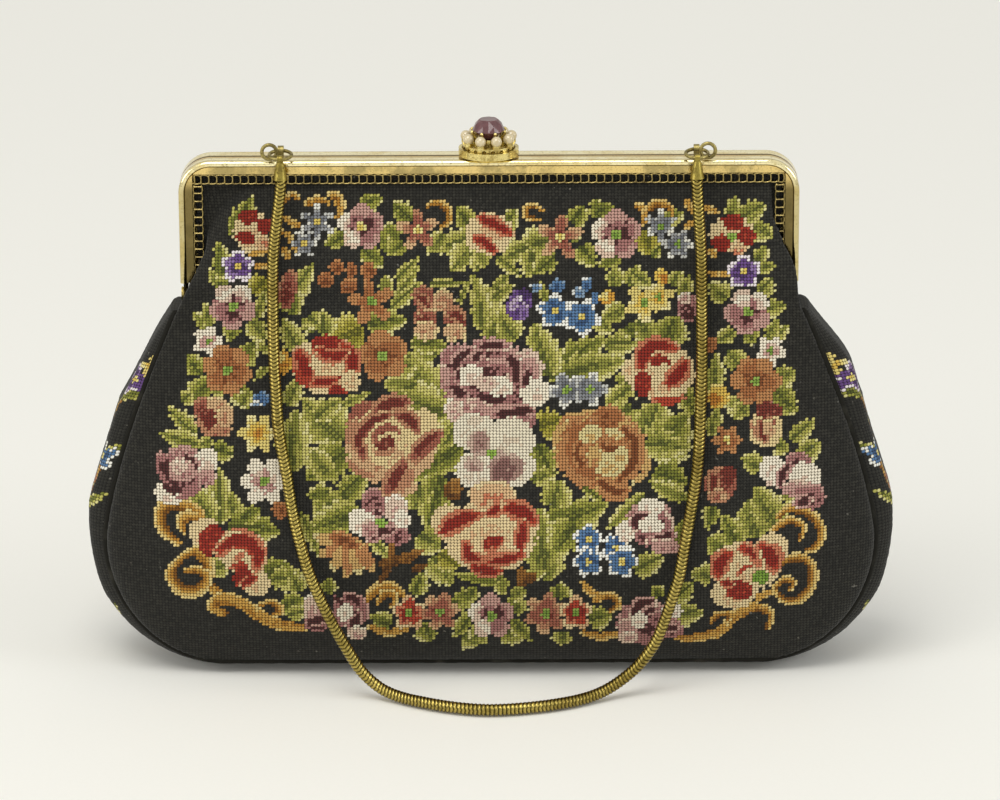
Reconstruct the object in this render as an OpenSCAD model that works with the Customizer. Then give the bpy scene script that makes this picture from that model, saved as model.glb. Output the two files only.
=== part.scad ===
// Petit point handbag: an embroidered cloth body hung from a hinged gilt frame, closed by a
// jewelled lift clasp and carried by a snake chain. Millimetres, +Z up, the front faces -Y,
// the origin lies on the floor under the middle of the flat base.

/* [Cloth body] */
// Width of the cloth body at its widest
bag_w = 224; // [205:1:240]
// Depth of the cloth body at its fullest
bag_d = 56; // [50:1:64]
// Height of the widest part above the floor
belly_z = 38; // [28:1:40]
// Length of the flat base
base_w = 150; // [130:1:176]
// Width between the two bottom seams
base_d = 36; // [30:1:42]
// Width of the gusset at the widest part
gusset_w = 25; // [20:1:30]
// How far the side seams lie inside the widest line of the gusset
seam_inset = 6; // [4:0.5:8]
// Height of the bottom seams above the floor
seam_z = 4; // [3.5:0.5:6]
// Thickness of the stitched canvas and its backing
canvas_t = 1.4; // [1:0.1:1.8]
// Thickness of the lining
lining_t = 0.6; // [0.4:0.1:0.8]
// Diameter of the corded piping
piping_d = 2.2; // [1.6:0.1:2.6]

/* [Frame] */
// Width of the frame over its arms
frame_w = 169; // [160:1:176]
// Height of the frame's top above the floor
frame_top_z = 143.5; // [136:0.5:150]
// Height of the frame from the hinge pin to its top
frame_h = 39; // [36:1:42]
// Outer radius of the two frame corners
corner_r = 9; // [8:0.5:12]
// Depth of one frame half to the front of its bead
half_d = 5.5; // [5:0.1:6.5]
// Thickness of the frame's sheet metal
sheet_t = 0.8; // [0.6:0.1:1]
// Diameter of the rolled bead along the outer edge
bead_d = 1.8; // [1.4:0.1:2.2]
// Height of the apron below the top
apron_h = 3.8; // [3.4:0.1:4.6]
// Height of the inner flange
flange_h = 5.6; // [4:0.1:6]
// Height of the pierced ladder trim
ladder_h = 3; // [2.4:0.1:3.4]
// Distance from rung to rung
ladder_pitch = 2; // [1.8:0.1:2.6]
// Width of the trim's rails and rungs
ladder_bar = 0.6; // [0.4:0.1:0.8]

/* [Hinge] */
// Diameter of the hinge rivets
rivet_d = 2.4; // [1.8:0.1:3]
// Radial running clearance of the hinge rivets and the clasp pin
pin_fit = 0.05; // [0.02:0.01:0.1]
// Diameter of the round hinge ears
ear_d = 6; // [5:0.5:7]
// Thickness of one hinge ear
ear_t = 1.2; // [1:0.1:1.4]

/* [Clasp] */
// Diameter of the dished clasp plate
plate_d = 16.4; // [14:0.2:20]
// Diameter of the purple stone
stone_d = 8.6; // [7:0.2:9]
// Diameter of one pearl
pearl_d = 3; // [2.4:0.1:3.2]
// Number of pearls round the stone
pearl_count = 9; // [8:1:10]
// Radius of the circle of pearls
pearl_ring_r = 6.3; // [6:0.1:7]
// Diameter of the clasp's hinge pin
clasp_pin_d = 1.2; // [1:0.1:1.4]

/* [Handle] */
// Diameter of the snake chain
chain_d = 3.3; // [2.6:0.1:3.6]
// Distance of the two lugs from the middle
lug_x = 56.5; // [54:0.5:58]
// Wire diameter of the rings
ring_wire = 1; // [0.8:0.1:1.1]
// Outside diameter of a frame ring
frame_ring_d = 7; // [6.6:0.1:7.4]
// Outside diameter of a link ring
link_ring_d = 5; // [4.8:0.1:5.4]
// Length of an end cap
cap_len = 5.6; // [5:0.2:7]

/* [Hidden] */
$fn = 48;

// Heights and depths that follow from the sizes above
hinge_z = frame_top_z - frame_h;
frame_half = frame_w / 2;
part_gap = 0.3;
apron_front = half_d - 0.8;
ladder_front = apron_front + 0.1;
ladder_t = sheet_t;
channel_d = apron_front - sheet_t - 0.2;
trim_edge = apron_h + ladder_h;
arm_foot_z = hinge_z + ear_d / 2 + 1.5;
ladder_foot_z = arm_foot_z + 0.5;

// Cloth outline: neck at the hinge, tuck where the cloth goes inside the arms, throat at the trim
neck_z = hinge_z + frame_h * 0.026;
tuck_z = hinge_z + frame_h * 0.385;
throat_z = frame_top_z - trim_edge - 0.2;
cloth_top_z = frame_top_z - sheet_t - 2;
neck_half = frame_half - 0.5;
mouth_half = frame_half - trim_edge - 0.4;
seam_half = bag_w / 2 - seam_inset;
seam_d = base_d / 2;
side_d = gusset_w / 2;
neck_d = half_d + 3;
pipe_gap = piping_d / 2 + 0.5;
lining_gap = canvas_t + 0.4;
lining_in = lining_gap + lining_t;
flap_foot_z = hinge_z + frame_h * 0.333;
lower_top_z = hinge_z + frame_h * 0.256;
arm_clear_z = hinge_z - frame_h * 0.128;

// The height a share f of the way from one height to another
function mix(a, b, f) = a + (b - a) * f;
// Depth of the cloth from the middle plane, from the belly up to the throat
function cloth_d(z) = bag_d / 2 - (bag_d / 2 - channel_d)
    * pow(min(1, max(0, (z - belly_z) / (throat_z - belly_z))), 0.85);
// Share of the way up from the belly to the neck
function rise(z) = min(1, max(0, (z - belly_z) / (neck_z - belly_z)));
// Share of the way from the neck to the tuck
function tuck(z) = min(1, max(0, (z - neck_z) / (tuck_z - neck_z)));
// Half width of the gusset's widest line
function gusset_half(z) = bag_w / 2 - (bag_w / 2 - frame_half) * pow(rise(z), 1.7);
// Half width of a panel, and depth of its side edge, at height z above the belly
function seam_x(z) = seam_half - (seam_half - neck_half) * pow(rise(z), 1.4)
    - (neck_half - mouth_half) * tuck(z);
function seam_y(z) = side_d + (neck_d - side_d) * rise(z) + (cloth_d(z) - neck_d) * tuck(z);

// One row of a panel: height, half width, depth at its edge, depth in the middle, and the turn of
// its outward direction from straight down. Below the belly the rows follow a quarter turn a.
function low_row(a) = [belly_z - (belly_z - seam_z) * cos(a),
    seam_half - (seam_half - base_w / 2) * (1 - sin(a)),
    seam_d + (side_d - seam_d) * sin(a),
    seam_d + (bag_d / 2 - seam_d) * sin(a), a];
function high_row(z) = [z, seam_x(z), seam_y(z), max(cloth_d(z), seam_y(z)), 90];
function fit_row(r, half) = [r[0], min(r[1], half), r[2], r[3], r[4]];

// Point u (-1 to 1) of a panel row, moved inwards by e; the edge clears the piping
function panel_point(r, u, e) = [u * (r[1] - 0.2 - e),
    -(r[2] + min(pipe_gap, max(0, r[3] - r[2]) + pipe_gap * (1 - tuck(r[0])))
      + max(0, r[3] - r[2] - pipe_gap) * sqrt(1 - pow(abs(u), 2.5)) - e * sin(r[4])),
    r[0] + e * cos(r[4])];
// Point u of a lining row: the lining runs round to the side seam in the middle plane, and lies
// flat in the frame
function lining_point(r, u, e) = [u * (r[1] - 2 - e), -max(part_gap, (r[3] - e)
    * (tuck(r[0]) + (1 - tuck(r[0])) * sqrt(1 - pow(abs(u), 2.5)))), r[0]];

// Closed sheet between two point grids of equal size, outer first
module sheet(outer, inner) {
    rows = len(outer);
    cols = len(outer[0]);
    count = rows * cols;
    points = concat([for (r = outer) for (p = r) p], [for (r = inner) for (p = r) p]);
    skin = [for (i = [0 : rows - 2]) for (j = [0 : cols - 2])
        [i * cols + j, (i + 1) * cols + j, (i + 1) * cols + j + 1, i * cols + j + 1]];
    back = [for (f = skin) [for (k = [3 : -1 : 0]) f[k] + count]];
    foot = [for (j = [0 : cols - 2]) [j, j + 1, j + 1 + count, j + count]];
    head = [for (j = [0 : cols - 2]) [(rows - 1) * cols + j + 1, (rows - 1) * cols + j,
        (rows - 1) * cols + j + count, (rows - 1) * cols + j + 1 + count]];
    left = [for (i = [0 : rows - 2]) [(i + 1) * cols, i * cols, i * cols + count,
        (i + 1) * cols + count]];
    right = [for (i = [0 : rows - 2]) [i * cols + cols - 1, (i + 1) * cols + cols - 1,
        (i + 1) * cols + cols - 1 + count, i * cols + cols - 1 + count]];
    polyhedron(points, [for (f = concat(skin, back, foot, head, left, right)) each
        [[f[0], f[2], f[1]], [f[0], f[3], f[2]]]], convexity = 6);
}

// Round tube through the points of a route, with the same number of sides at each point
module tube(route, d, sides) {
    last = len(route) - 1;
    along = [for (i = [0 : last]) unit(route[min(i + 1, last)] - route[max(i - 1, 0)])];
    rings = [for (i = [0 : last]) let (s = unit(side_of(along[i])), n = cross(along[i], s))
        for (k = [0 : sides - 1]) route[i] + d / 2 * (cos(360 * k / sides) * s
            + sin(360 * k / sides) * n)];
    walls = [for (i = [0 : last - 1]) for (k = [0 : sides - 1]) let (m = (k + 1) % sides)
        each [[i * sides + k, (i + 1) * sides + m, i * sides + m],
              [i * sides + k, (i + 1) * sides + k, (i + 1) * sides + m]]];
    first_end = [for (k = [0 : sides - 1]) k];
    last_end = [for (k = [sides - 1 : -1 : 0]) last * sides + k];
    polyhedron(rings, concat(walls, [first_end, last_end]), convexity = 6);
}
function unit(v) = v / norm(v);
// A direction across the route that turns steadily along it: the route never runs along Y
function side_of(t) = cross(t, [0, 1, 0]);

// Rows of the whole panel from the bottom seam to the frame, and of its parts
low_turns = [14, 26, 38, 50, 62, 76];
high_steps = [0, 0.16, 0.33, 0.5, 0.66, 0.82, 0.94];
low_rows = [for (a = low_turns) low_row(a)];
side_rows = [for (f = high_steps) high_row(belly_z + f * (arm_clear_z - belly_z))];
neck_rows = [for (z = [arm_clear_z, neck_z, mix(neck_z, tuck_z, 0.32),
    mix(neck_z, tuck_z, 0.64), tuck_z,
    (tuck_z + throat_z) / 2, throat_z, cloth_top_z]) high_row(z)];
front_rows = concat(low_rows, side_rows, neck_rows);
across = [-1, -0.99, -0.95, -0.87, -0.75, -0.6, -0.4, -0.2, 0,
          0.2, 0.4, 0.6, 0.75, 0.87, 0.95, 0.99, 1];

module panel(rows) {
    sheet([for (r = rows) [for (u = across) panel_point(r, u, 0)]],
          [for (r = rows) [for (u = across) panel_point(r, u, canvas_t)]]);
}
module front_panel() color("#3a3530") panel(front_rows);
// The lower back panel stays inside the arms above the hinge, so that they can swing past it
inner_half = mouth_half;
back_rows = concat(low_rows, side_rows, [for (z = [mix(arm_clear_z, hinge_z, 0.4), hinge_z,
    mix(hinge_z, lower_top_z, 0.5), lower_top_z]) fit_row(high_row(z), inner_half)]);
module back_panel() color("#3a3530") mirror([0, 1, 0]) panel(back_rows);
flap_rows = [for (z = [flap_foot_z, mix(flap_foot_z, throat_z, 0.26),
    mix(flap_foot_z, throat_z, 0.53), throat_z, cloth_top_z])
    fit_row(high_row(z), inner_half)];
module back_panel_top() color("#3a3530") mirror([0, 1, 0]) panel(flap_rows);

// Lining: the same rows, drawn in, with a flat floor sewn along the middle
lining_floor = [[0, base_w / 2 - 3, 0, part_gap + 3 * lining_in],
                [0, base_w / 2 - 3, 0, seam_d * 0.66]];
lining_low = [for (a = [30, 45, 60, 75]) low_row(a)];
lining_side = [for (f = [0, 0.2, 0.4, 0.6, 0.8, 0.95]) high_row(belly_z
    + f * (arm_clear_z - 4 - belly_z))];
function floor_point(r, u, e) = [u * (r[1] - e), -max(part_gap, r[3] - e), e];
module lining(neck) {
    wall = concat(lining_low, lining_side, neck);
    sheet(concat([for (r = lining_floor) [for (u = lining_across) floor_point(r, u, lining_gap)]],
                 [for (r = wall) [for (u = lining_across) lining_point(r, u, lining_gap)]]),
          concat([for (r = lining_floor) [for (u = lining_across) floor_point(r, u, lining_in)]],
                 [for (r = wall) [for (u = lining_across) lining_point(r, u, lining_in)]]));
}
lining_across = [-0.97, -0.87, -0.7, -0.45, -0.2, 0, 0.2, 0.45, 0.7, 0.87, 0.97];
lining_half = inner_half - 2;
module lining_front() color("#6a5a48") lining([for (z = [arm_clear_z,
    mix(hinge_z, lower_top_z, 0.4), tuck_z, throat_z, cloth_top_z]) fit_row(high_row(z), lining_half)]);
module lining_back() color("#6a5a48") mirror([0, 1, 0])
    lining([for (z = [arm_clear_z, mix(hinge_z, lower_top_z, 0.4), lower_top_z])
        fit_row(high_row(z), lining_half)]);
lining_flap_rows = [for (z = [mix(flap_foot_z, throat_z, 0.11),
    mix(flap_foot_z, throat_z, 0.42), throat_z, cloth_top_z])
    fit_row(high_row(z), lining_half)];
module lining_back_top() color("#6a5a48") mirror([0, 1, 0])
    sheet([for (r = lining_flap_rows) [for (u = lining_across) lining_point(r, u, lining_gap)]],
          [for (r = lining_flap_rows) [for (u = lining_across) lining_point(r, u, lining_in)]]);

// Stations of the gusset from the left hinge round the base to the right hinge: the point of its
// widest line, the seam beside it, and the inward direction; each as [x, z]
gusset_top_z = hinge_z - 3;
side_steps = [1, 0.86, 0.7, 0.5, 0.3, 0.15];
corner_turns = [90, 75, 60, 45, 30, 15, 0];
base_steps = [-0.6, -0.2];
left_stations = concat(
    [for (f = side_steps) let (z = belly_z + f * (gusset_top_z - belly_z))
        [[-gusset_half(z), z], [-seam_x(z), z], seam_y(z), [1, 0]]],
    [for (a = corner_turns) let (r = low_row(a))
        [[-bag_w / 2 + (bag_w / 2 - base_w / 2) * (1 - sin(a)), belly_z * (1 - cos(a))],
         [-r[1], r[0]], r[2], [sin(a), cos(a)]]],
    [for (f = base_steps) [[f * base_w / 2, 0], [f * base_w / 2, seam_z], seam_d, [0, 1]]]);
stations = concat(left_stations, [for (i = [len(left_stations) - 1 : -1 : 0])
    let (s = left_stations[i]) [[-s[0][0], s[0][1]], [-s[1][0], s[1][1]], s[2], [-s[3][0], s[3][1]]]]);
gusset_across = [-1, -0.8, -0.6, -0.2, 0.2, 0.6, 0.8, 1];
// The gusset lies flat in its middle and curls round to the seams on both sides
function curl(s) = pow(max(0, (abs(s) - 0.55) / 0.45), 2);
function gusset_point(st, k, e) = let (s = k * (1 - (piping_d / 2 + 0.3) / st[2]),
    p = st[0] + (st[1] - st[0]) * curl(s) + st[3] * e)
    [p[0], st[2] * s * (1 - e * curl(s) / st[2]), p[1]];
module gusset() color("#35312c")
    sheet([for (st = stations) [for (k = gusset_across) gusset_point(st, k, 0)]],
          [for (st = stations) [for (k = gusset_across) gusset_point(st, k, canvas_t)]]);

// Corded piping in the two seams
module piping() tube([for (st = stations) [st[1][0], -st[2], st[1][1]]], piping_d, 8);
module front_piping() color("#2c2925") piping();
module back_piping() color("#2c2925") mirror([0, 1, 0]) piping();

// Section of one frame half: x is the distance in from the outer edge, y the depth from the
// middle plane. Outer wall, rolled bead, recessed apron and inner flange.
module frame_section() {
    translate([0, part_gap]) square([sheet_t, half_d - part_gap - bead_d / 2]);
    translate([bead_d / 2, half_d - bead_d / 2]) circle(d = bead_d);
    translate([sheet_t / 2, apron_front - sheet_t]) square([apron_h - sheet_t / 2, sheet_t]);
    translate([0, part_gap]) square([flange_h, sheet_t]);
}
// Flat hinge ear at one arm's foot, reaching from the arm to the hinge pin
module hinge_ear(inset) {
    translate([inset - frame_half, 0, 0]) rotate([90, 0, 90]) linear_extrude(ear_t)
        difference() {
            union() {
                translate([0, hinge_z]) circle(d = ear_d);
                polygon([[-part_gap - sheet_t / 2, arm_foot_z + 3], [-channel_d, arm_foot_z + 3],
                    [-channel_d, arm_foot_z], [-ear_d * 0.46, hinge_z - ear_d * 0.17],
                    [0, hinge_z], [-part_gap - sheet_t / 2, arm_foot_z]]);
            }
            translate([0, hinge_z]) circle(d = rivet_d + 2 * pin_fit);
        }
}
module arm(inset) {
    translate([-frame_half, 0, arm_foot_z]) linear_extrude(frame_top_z - corner_r - arm_foot_z)
        mirror([0, 1]) frame_section();
    translate([corner_r - frame_half, 0, frame_top_z - corner_r]) rotate([90, 0, 0])
        rotate([0, 0, 90]) rotate_extrude(angle = 90) translate([corner_r, 0]) mirror([1, 0])
        frame_section();
    hinge_ear(inset);
}
// Ears of the two halves lie side by side on the pin
front_ear_in = sheet_t;
back_ear_in = sheet_t + ear_t + 0.2;
// The apron's two inner corners are square, to take the ends of the trim
module frame_half_shape(inset) difference() {
    union() {
        arm(inset);
        mirror([1, 0, 0]) arm(inset);
        translate([corner_r - frame_half, 0, frame_top_z]) rotate([90, 90, 90])
            linear_extrude(frame_w - 2 * corner_r) mirror([0, 1]) frame_section();
    }
    translate([apron_h - frame_half, -half_d, frame_top_z - corner_r - 2])
        cube([frame_w - 2 * apron_h, half_d - apron_front + sheet_t, corner_r + 2 - apron_h]);
}
module front_frame() color("#d8bc6c") frame_half_shape(front_ear_in);
module back_frame() color("#d8bc6c") mirror([0, 1, 0]) frame_half_shape(back_ear_in);

// Hinge rivet through both ears, with a head on each side
module hinge_rivet() {
    ears = 2 * ear_t + 0.2;
    translate([-frame_half + sheet_t, 0, hinge_z]) rotate([0, 90, 0]) {
        translate([0, 0, -0.7]) cylinder(d = rivet_d, h = ears + 1.4);
        translate([0, 0, -0.8]) cylinder(d = rivet_d + 1.6, h = 0.7);
        translate([0, 0, ears + 0.1]) cylinder(d = rivet_d + 1.6, h = 0.7);
    }
}
module hinge_rivet_left() color("#c8a850") hinge_rivet();
module hinge_rivet_right() color("#c8a850") mirror([1, 0, 0]) hinge_rivet();

// Pierced ladder trim: two rails joined by rungs
module ladder(length) {
    count = floor(length / ladder_pitch);
    step = length / count;
    linear_extrude(ladder_t) difference() {
        square([length, ladder_h]);
        for (i = [0 : count - 1])
            translate([i * step + ladder_bar / 2, ladder_bar])
                square([step - ladder_bar, ladder_h - 2 * ladder_bar]);
    }
}
top_trim_w = frame_w - 2 * apron_h;
side_trim_h = frame_top_z - trim_edge - 0.1 - ladder_foot_z;
module trim_top() translate([-top_trim_w / 2, -ladder_front + ladder_t, frame_top_z - trim_edge])
    rotate([90, 0, 0]) ladder(top_trim_w);
module trim_side() translate([-frame_half + trim_edge, -ladder_front + ladder_t, ladder_foot_z])
    rotate([90, 0, 0]) rotate([0, 0, 90]) ladder(side_trim_h);
module front_ladder_top() color("#e0c878") trim_top();
module front_ladder_left() color("#e0c878") trim_side();
module front_ladder_right() color("#e0c878") mirror([1, 0, 0]) trim_side();
module back_ladder_top() color("#e0c878") mirror([0, 1, 0]) trim_top();
module back_ladder_left() color("#e0c878") mirror([0, 1, 0]) trim_side();
module back_ladder_right() color("#e0c878") mirror([0, 1, 0]) mirror([1, 0, 0]) trim_side();

// Clasp hinge behind the back half: pin axis, knuckle and ears
knuckle_d = 2.1;
clasp_y = half_d + knuckle_d / 2 + 0.6;
clasp_z = frame_top_z - 0.8;
knuckle_w = 6.4;
bracket_ear_t = 1.2;
bracket_gap = 0.2;
bracket_w = knuckle_w + 2 * bracket_gap + 2 * bracket_ear_t;
bracket_z = frame_top_z - apron_h + 0.05;
bracket_h = apron_h - bead_d - 0.2;
module bracket_ear() translate([knuckle_w / 2 + bracket_gap, 0, 0]) rotate([90, 0, 90])
    linear_extrude(bracket_ear_t) difference() {
        union() {
            translate([clasp_y, clasp_z]) circle(d = knuckle_d);
            polygon([[apron_front + 0.6, bracket_z], [clasp_y, bracket_z],
                [clasp_y + knuckle_d / 2, clasp_z], [clasp_y - knuckle_d / 2, clasp_z],
                [apron_front + 0.6, bracket_z + bracket_h]]);
        }
        translate([clasp_y, clasp_z]) circle(d = clasp_pin_d + 2 * pin_fit);
    }
module clasp_bracket() color("#c8a850") {
    translate([-bracket_w / 2, apron_front, bracket_z]) cube([bracket_w, 0.7, bracket_h]);
    bracket_ear();
    mirror([1, 0, 0]) bracket_ear();
}
module clasp_pin() color("#b89848") translate([-bracket_w / 2 - 0.2, clasp_y, clasp_z])
    rotate([0, 90, 0]) cylinder(d = clasp_pin_d, h = bracket_w + 0.4);

// Dished plate of the clasp with its upturned rim, and the knuckle under its back edge
plate_z = frame_top_z + 0.5;
floor_t = 1;
plate_top_z = plate_z + floor_t;
module clasp_plate() color("#d8bc6c") difference() {
    union() {
        translate([0, 0, plate_z]) cylinder(d = plate_d, h = floor_t);
        translate([0, 0, plate_top_z]) difference() {
            cylinder(d = plate_d, h = 0.9);
            translate([0, 0, -1]) cylinder(d = plate_d - 1.8, h = 3);
        }
        translate([-knuckle_w / 2, clasp_y, clasp_z]) rotate([0, 90, 0])
            cylinder(d = knuckle_d, h = knuckle_w);
        translate([-knuckle_w / 2, clasp_y - knuckle_d / 2, clasp_z])
            cube([knuckle_w, min(knuckle_d, plate_d / 2 - clasp_y + knuckle_d / 2 - 1.2),
                plate_z - clasp_z + 0.2]);
    }
    translate([-knuckle_w, clasp_y, clasp_z]) rotate([0, 90, 0])
        cylinder(d = clasp_pin_d + 2 * pin_fit, h = 2 * knuckle_w);
}
// Pierced gallery ring that lifts the pearls
gallery_h = 2;
module clasp_gallery() color("#c8a850") translate([0, 0, plate_top_z]) difference() {
    cylinder(r = pearl_ring_r + 0.7, h = gallery_h);
    translate([0, 0, -1]) cylinder(r = pearl_ring_r - 0.7, h = gallery_h + 2);
    for (i = [0 : 2 * pearl_count - 1]) rotate([0, 0, 180 * i / pearl_count])
        translate([pearl_ring_r - 1.2, 0, gallery_h / 2]) rotate([0, 90, 0])
        cylinder(d = 1.2, h = 2.4);
}
// Cups and pearls
cup_z = plate_top_z + gallery_h;
cup_h = 0.9;
pearl_z = cup_z + 0.35 + pearl_d / 2;
module on_pearl_ring() for (i = [0 : pearl_count - 1])
    rotate([0, 0, 360 * (i + 0.5) / pearl_count - 90]) translate([pearl_ring_r, 0, 0]) children();
module pearl_cups() color("#d8bc6c") on_pearl_ring() difference() {
    translate([0, 0, cup_z]) cylinder(d = pearl_d * 0.8, h = cup_h);
    translate([0, 0, pearl_z]) sphere(d = pearl_d + 0.1);
}
module pearls() color("#f0e8dc") on_pearl_ring() translate([0, 0, pearl_z]) sphere(d = pearl_d);
// Prong crown and the faceted stone
girdle_z = plate_top_z + 5.6;
culet_z = girdle_z - 2.9;
table_z = girdle_z + 3;
stone_r = stone_d / 2;
prong_d = 0.7;
prong_r = stone_r + prong_d / 2 + 0.15;
seat_r = stone_r * 0.62;
seat_h = culet_z - plate_top_z + 0.9;
prong_foot_z = plate_top_z + seat_h - 0.6;
prong_lean = atan((prong_r - seat_r - 0.35) / (girdle_z - prong_foot_z));
module stone_crown() color("#d8bc6c") {
    translate([0, 0, plate_top_z]) difference() {
        cylinder(r = seat_r + 0.7, h = seat_h);
        translate([0, 0, -1]) cylinder(r = seat_r, h = seat_h + 2);
    }
    for (i = [0 : 7]) rotate([0, 0, 45 * i + 22.5]) {
        translate([seat_r + 0.35, 0, prong_foot_z]) rotate([0, prong_lean, 0])
            cylinder(d = prong_d, h = (girdle_z - prong_foot_z) / cos(prong_lean));
        translate([prong_r, 0, girdle_z]) sphere(d = prong_d * 1.35);
    }
}
module stone() color("#6a4a62") {
    translate([0, 0, culet_z]) cylinder(r1 = stone_r * 0.3, r2 = stone_r, h = girdle_z - culet_z, $fn = 12);
    translate([0, 0, girdle_z]) cylinder(r1 = stone_r, r2 = stone_r * 0.86, h = 1.3, $fn = 12);
    translate([0, 0, girdle_z + 1.3]) cylinder(r1 = stone_r * 0.86, r2 = stone_r * 0.5,
        h = table_z - girdle_z - 1.3, $fn = 12);
}

// Lug on the front half's top: a short tube across the bag that the frame ring turns in
pivot_y = -half_d / 2 - 0.1;
pivot_z = frame_top_z + 2.4;
lug_w = 1.6;
lug_bore = ring_wire + 0.8;
lug_d = lug_bore + 0.9;
module lug(x) translate([x - lug_w / 2, pivot_y, 0]) difference() {
    union() {
        translate([0, 0, pivot_z]) rotate([0, 90, 0]) cylinder(d = lug_d, h = lug_w);
        translate([0, -lug_d / 2, frame_top_z]) cube([lug_w, lug_d, pivot_z - frame_top_z]);
    }
    translate([-1, 0, pivot_z]) rotate([0, 90, 0]) cylinder(d = lug_bore, h = lug_w + 2);
}
module lug_left() color("#c8a850") lug(-lug_x);
module lug_right() color("#c8a850") lug(lug_x);

// Frame ring: its back lies in the lug, and it leans down over the front edge
ring_r = (frame_ring_d - ring_wire) / 2;
ring_tilt = 9;
module frame_ring() translate([-lug_x, pivot_y, pivot_z]) rotate([ring_tilt, 0, 0])
    translate([0, -ring_r, 0]) rotate_extrude() translate([ring_r, 0]) circle(d = ring_wire);
module frame_ring_left() color("#968448") frame_ring();
module frame_ring_right() color("#968448") mirror([1, 0, 0]) frame_ring();

// Link ring: it stands upright round the outer side of the frame ring
link_r = (link_ring_d - ring_wire) / 2;
link_y = pivot_y - ring_r * cos(ring_tilt);
link_z = pivot_z - ring_r * sin(ring_tilt) + link_r - ring_wire - 0.15;
module link_ring() translate([-lug_x - ring_r, link_y, link_z]) rotate([90, 0, 0])
    rotate_extrude() translate([link_r, 0]) circle(d = ring_wire);
module link_ring_left() color("#968448") link_ring();
module link_ring_right() color("#968448") mirror([1, 0, 0]) link_ring();

// End cap: a folded ferrule hung on the front of the frame ring, round at the chain
cap_x = -lug_x;
cap_y = pivot_y - 2 * ring_r * cos(ring_tilt);
cap_z = pivot_z - 2 * ring_r * sin(ring_tilt);
cap_lean = 4;
cap_bore = ring_wire + 0.6;
module end_cap() translate([cap_x, cap_y, cap_z]) difference() {
    union() {
        translate([-ring_wire * 0.7, 0, 0]) rotate([0, 90, 0])
            cylinder(d = cap_bore + 0.7, h = ring_wire * 1.4);
        rotate([-cap_lean, 0, 0]) translate([0, 0, -cap_len])
            cylinder(d1 = chain_d + 0.7, d2 = ring_wire * 1.6, h = cap_len);
    }
    translate([-4, 0, 0]) rotate([0, 90, 0]) cylinder(d = cap_bore, h = 8);
}
module end_cap_left() color("#a8924c") end_cap();
module end_cap_right() color("#a8924c") mirror([1, 0, 0]) end_cap();

// Snake chain: it hangs over the front panel and its bow lies on the floor in front
cap_foot = [cap_x, cap_y - cap_len * sin(cap_lean), cap_z - cap_len * cos(cap_lean)];
cap_along = [0, -sin(cap_lean), -cos(cap_lean)];
left_route = [[-58.6, -11.2, 119.3], [-58.9, -13.2, 104.6], [-58.8, -15.3, 92.7], [-58.4, -17.3, 83],
    [-57.8, -19.5, 73.3], [-56.8, -21.1, 66.1], [-55.5, -22.9, 59.3], [-54, -25.4, 49.8],
    [-51.8, -28.3, 40.9], [-49.2, -30.6, 33], [-46, -32.6, 25.8], [-42.4, -34.4, 18.8],
    [-38.6, -35.8, 12.4], [-35.2, -36.9, 7.4], [-30.2, -38.8, 3.4], [-25, -41.8, 2],
    [-19, -45.6, 1.9], [-10, -49.8, 1.9]];
right_route = [[11, -50.1, 1.9], [20, -46.8, 1.9], [26.5, -43, 2], [32.2, -39.4, 3.2],
    [38, -36.8, 6.6], [42, -35.8, 10.6], [45.8, -34.4, 16.4], [49.4, -32.2, 25.8], [51.7, -30.4, 33],
    [53, -28.6, 40], [54.8, -25.5, 49.5], [56.4, -22.9, 58.9], [57.2, -20.7, 68.3],
    [57.7, -17.4, 82.7], [57.9, -15.3, 92.5], [57.8, -13, 106], [57.6, -11.2, 119.3]];
function other_side(p) = [-p[0], p[1], p[2]];
cap_exit = [cap_foot + 0.05 * cap_along, cap_foot + 3 * cap_along];
chain_route = concat(cap_exit, left_route, [[0, -51.8, 1.9]], right_route,
    [other_side(cap_exit[1]), other_side(cap_exit[0])]);
function smooth_route(r) = [for (i = [0 : len(r) - 1]) each i == len(r) - 1 ? [r[i]]
    : i == 0 || i == len(r) - 2 ? [r[i]]
    : [r[i], (9 * (r[i] + r[i + 1]) - r[i - 1] - r[i + 2]) / 16]];
module chain() color("#a08a48") tube(smooth_route(chain_route), chain_d, 8);

front_frame();
front_ladder_top();
front_ladder_left();
front_ladder_right();
hinge_rivet_left();
hinge_rivet_right();
front_panel();
back_panel();
gusset();
front_piping();
back_piping();
lining_front();
lining_back();
lug_left();
lug_right();
back_frame();
back_ladder_top();
back_ladder_left();
back_ladder_right();
back_panel_top();
lining_back_top();
clasp_bracket();
clasp_pin();
clasp_plate();
clasp_gallery();
pearl_cups();
pearls();
stone_crown();
stone();
frame_ring_left();
frame_ring_right();
link_ring_left();
link_ring_right();
end_cap_left();
end_cap_right();
chain();
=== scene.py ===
import bpy
import numpy as np
from mathutils import Matrix, Vector


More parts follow.
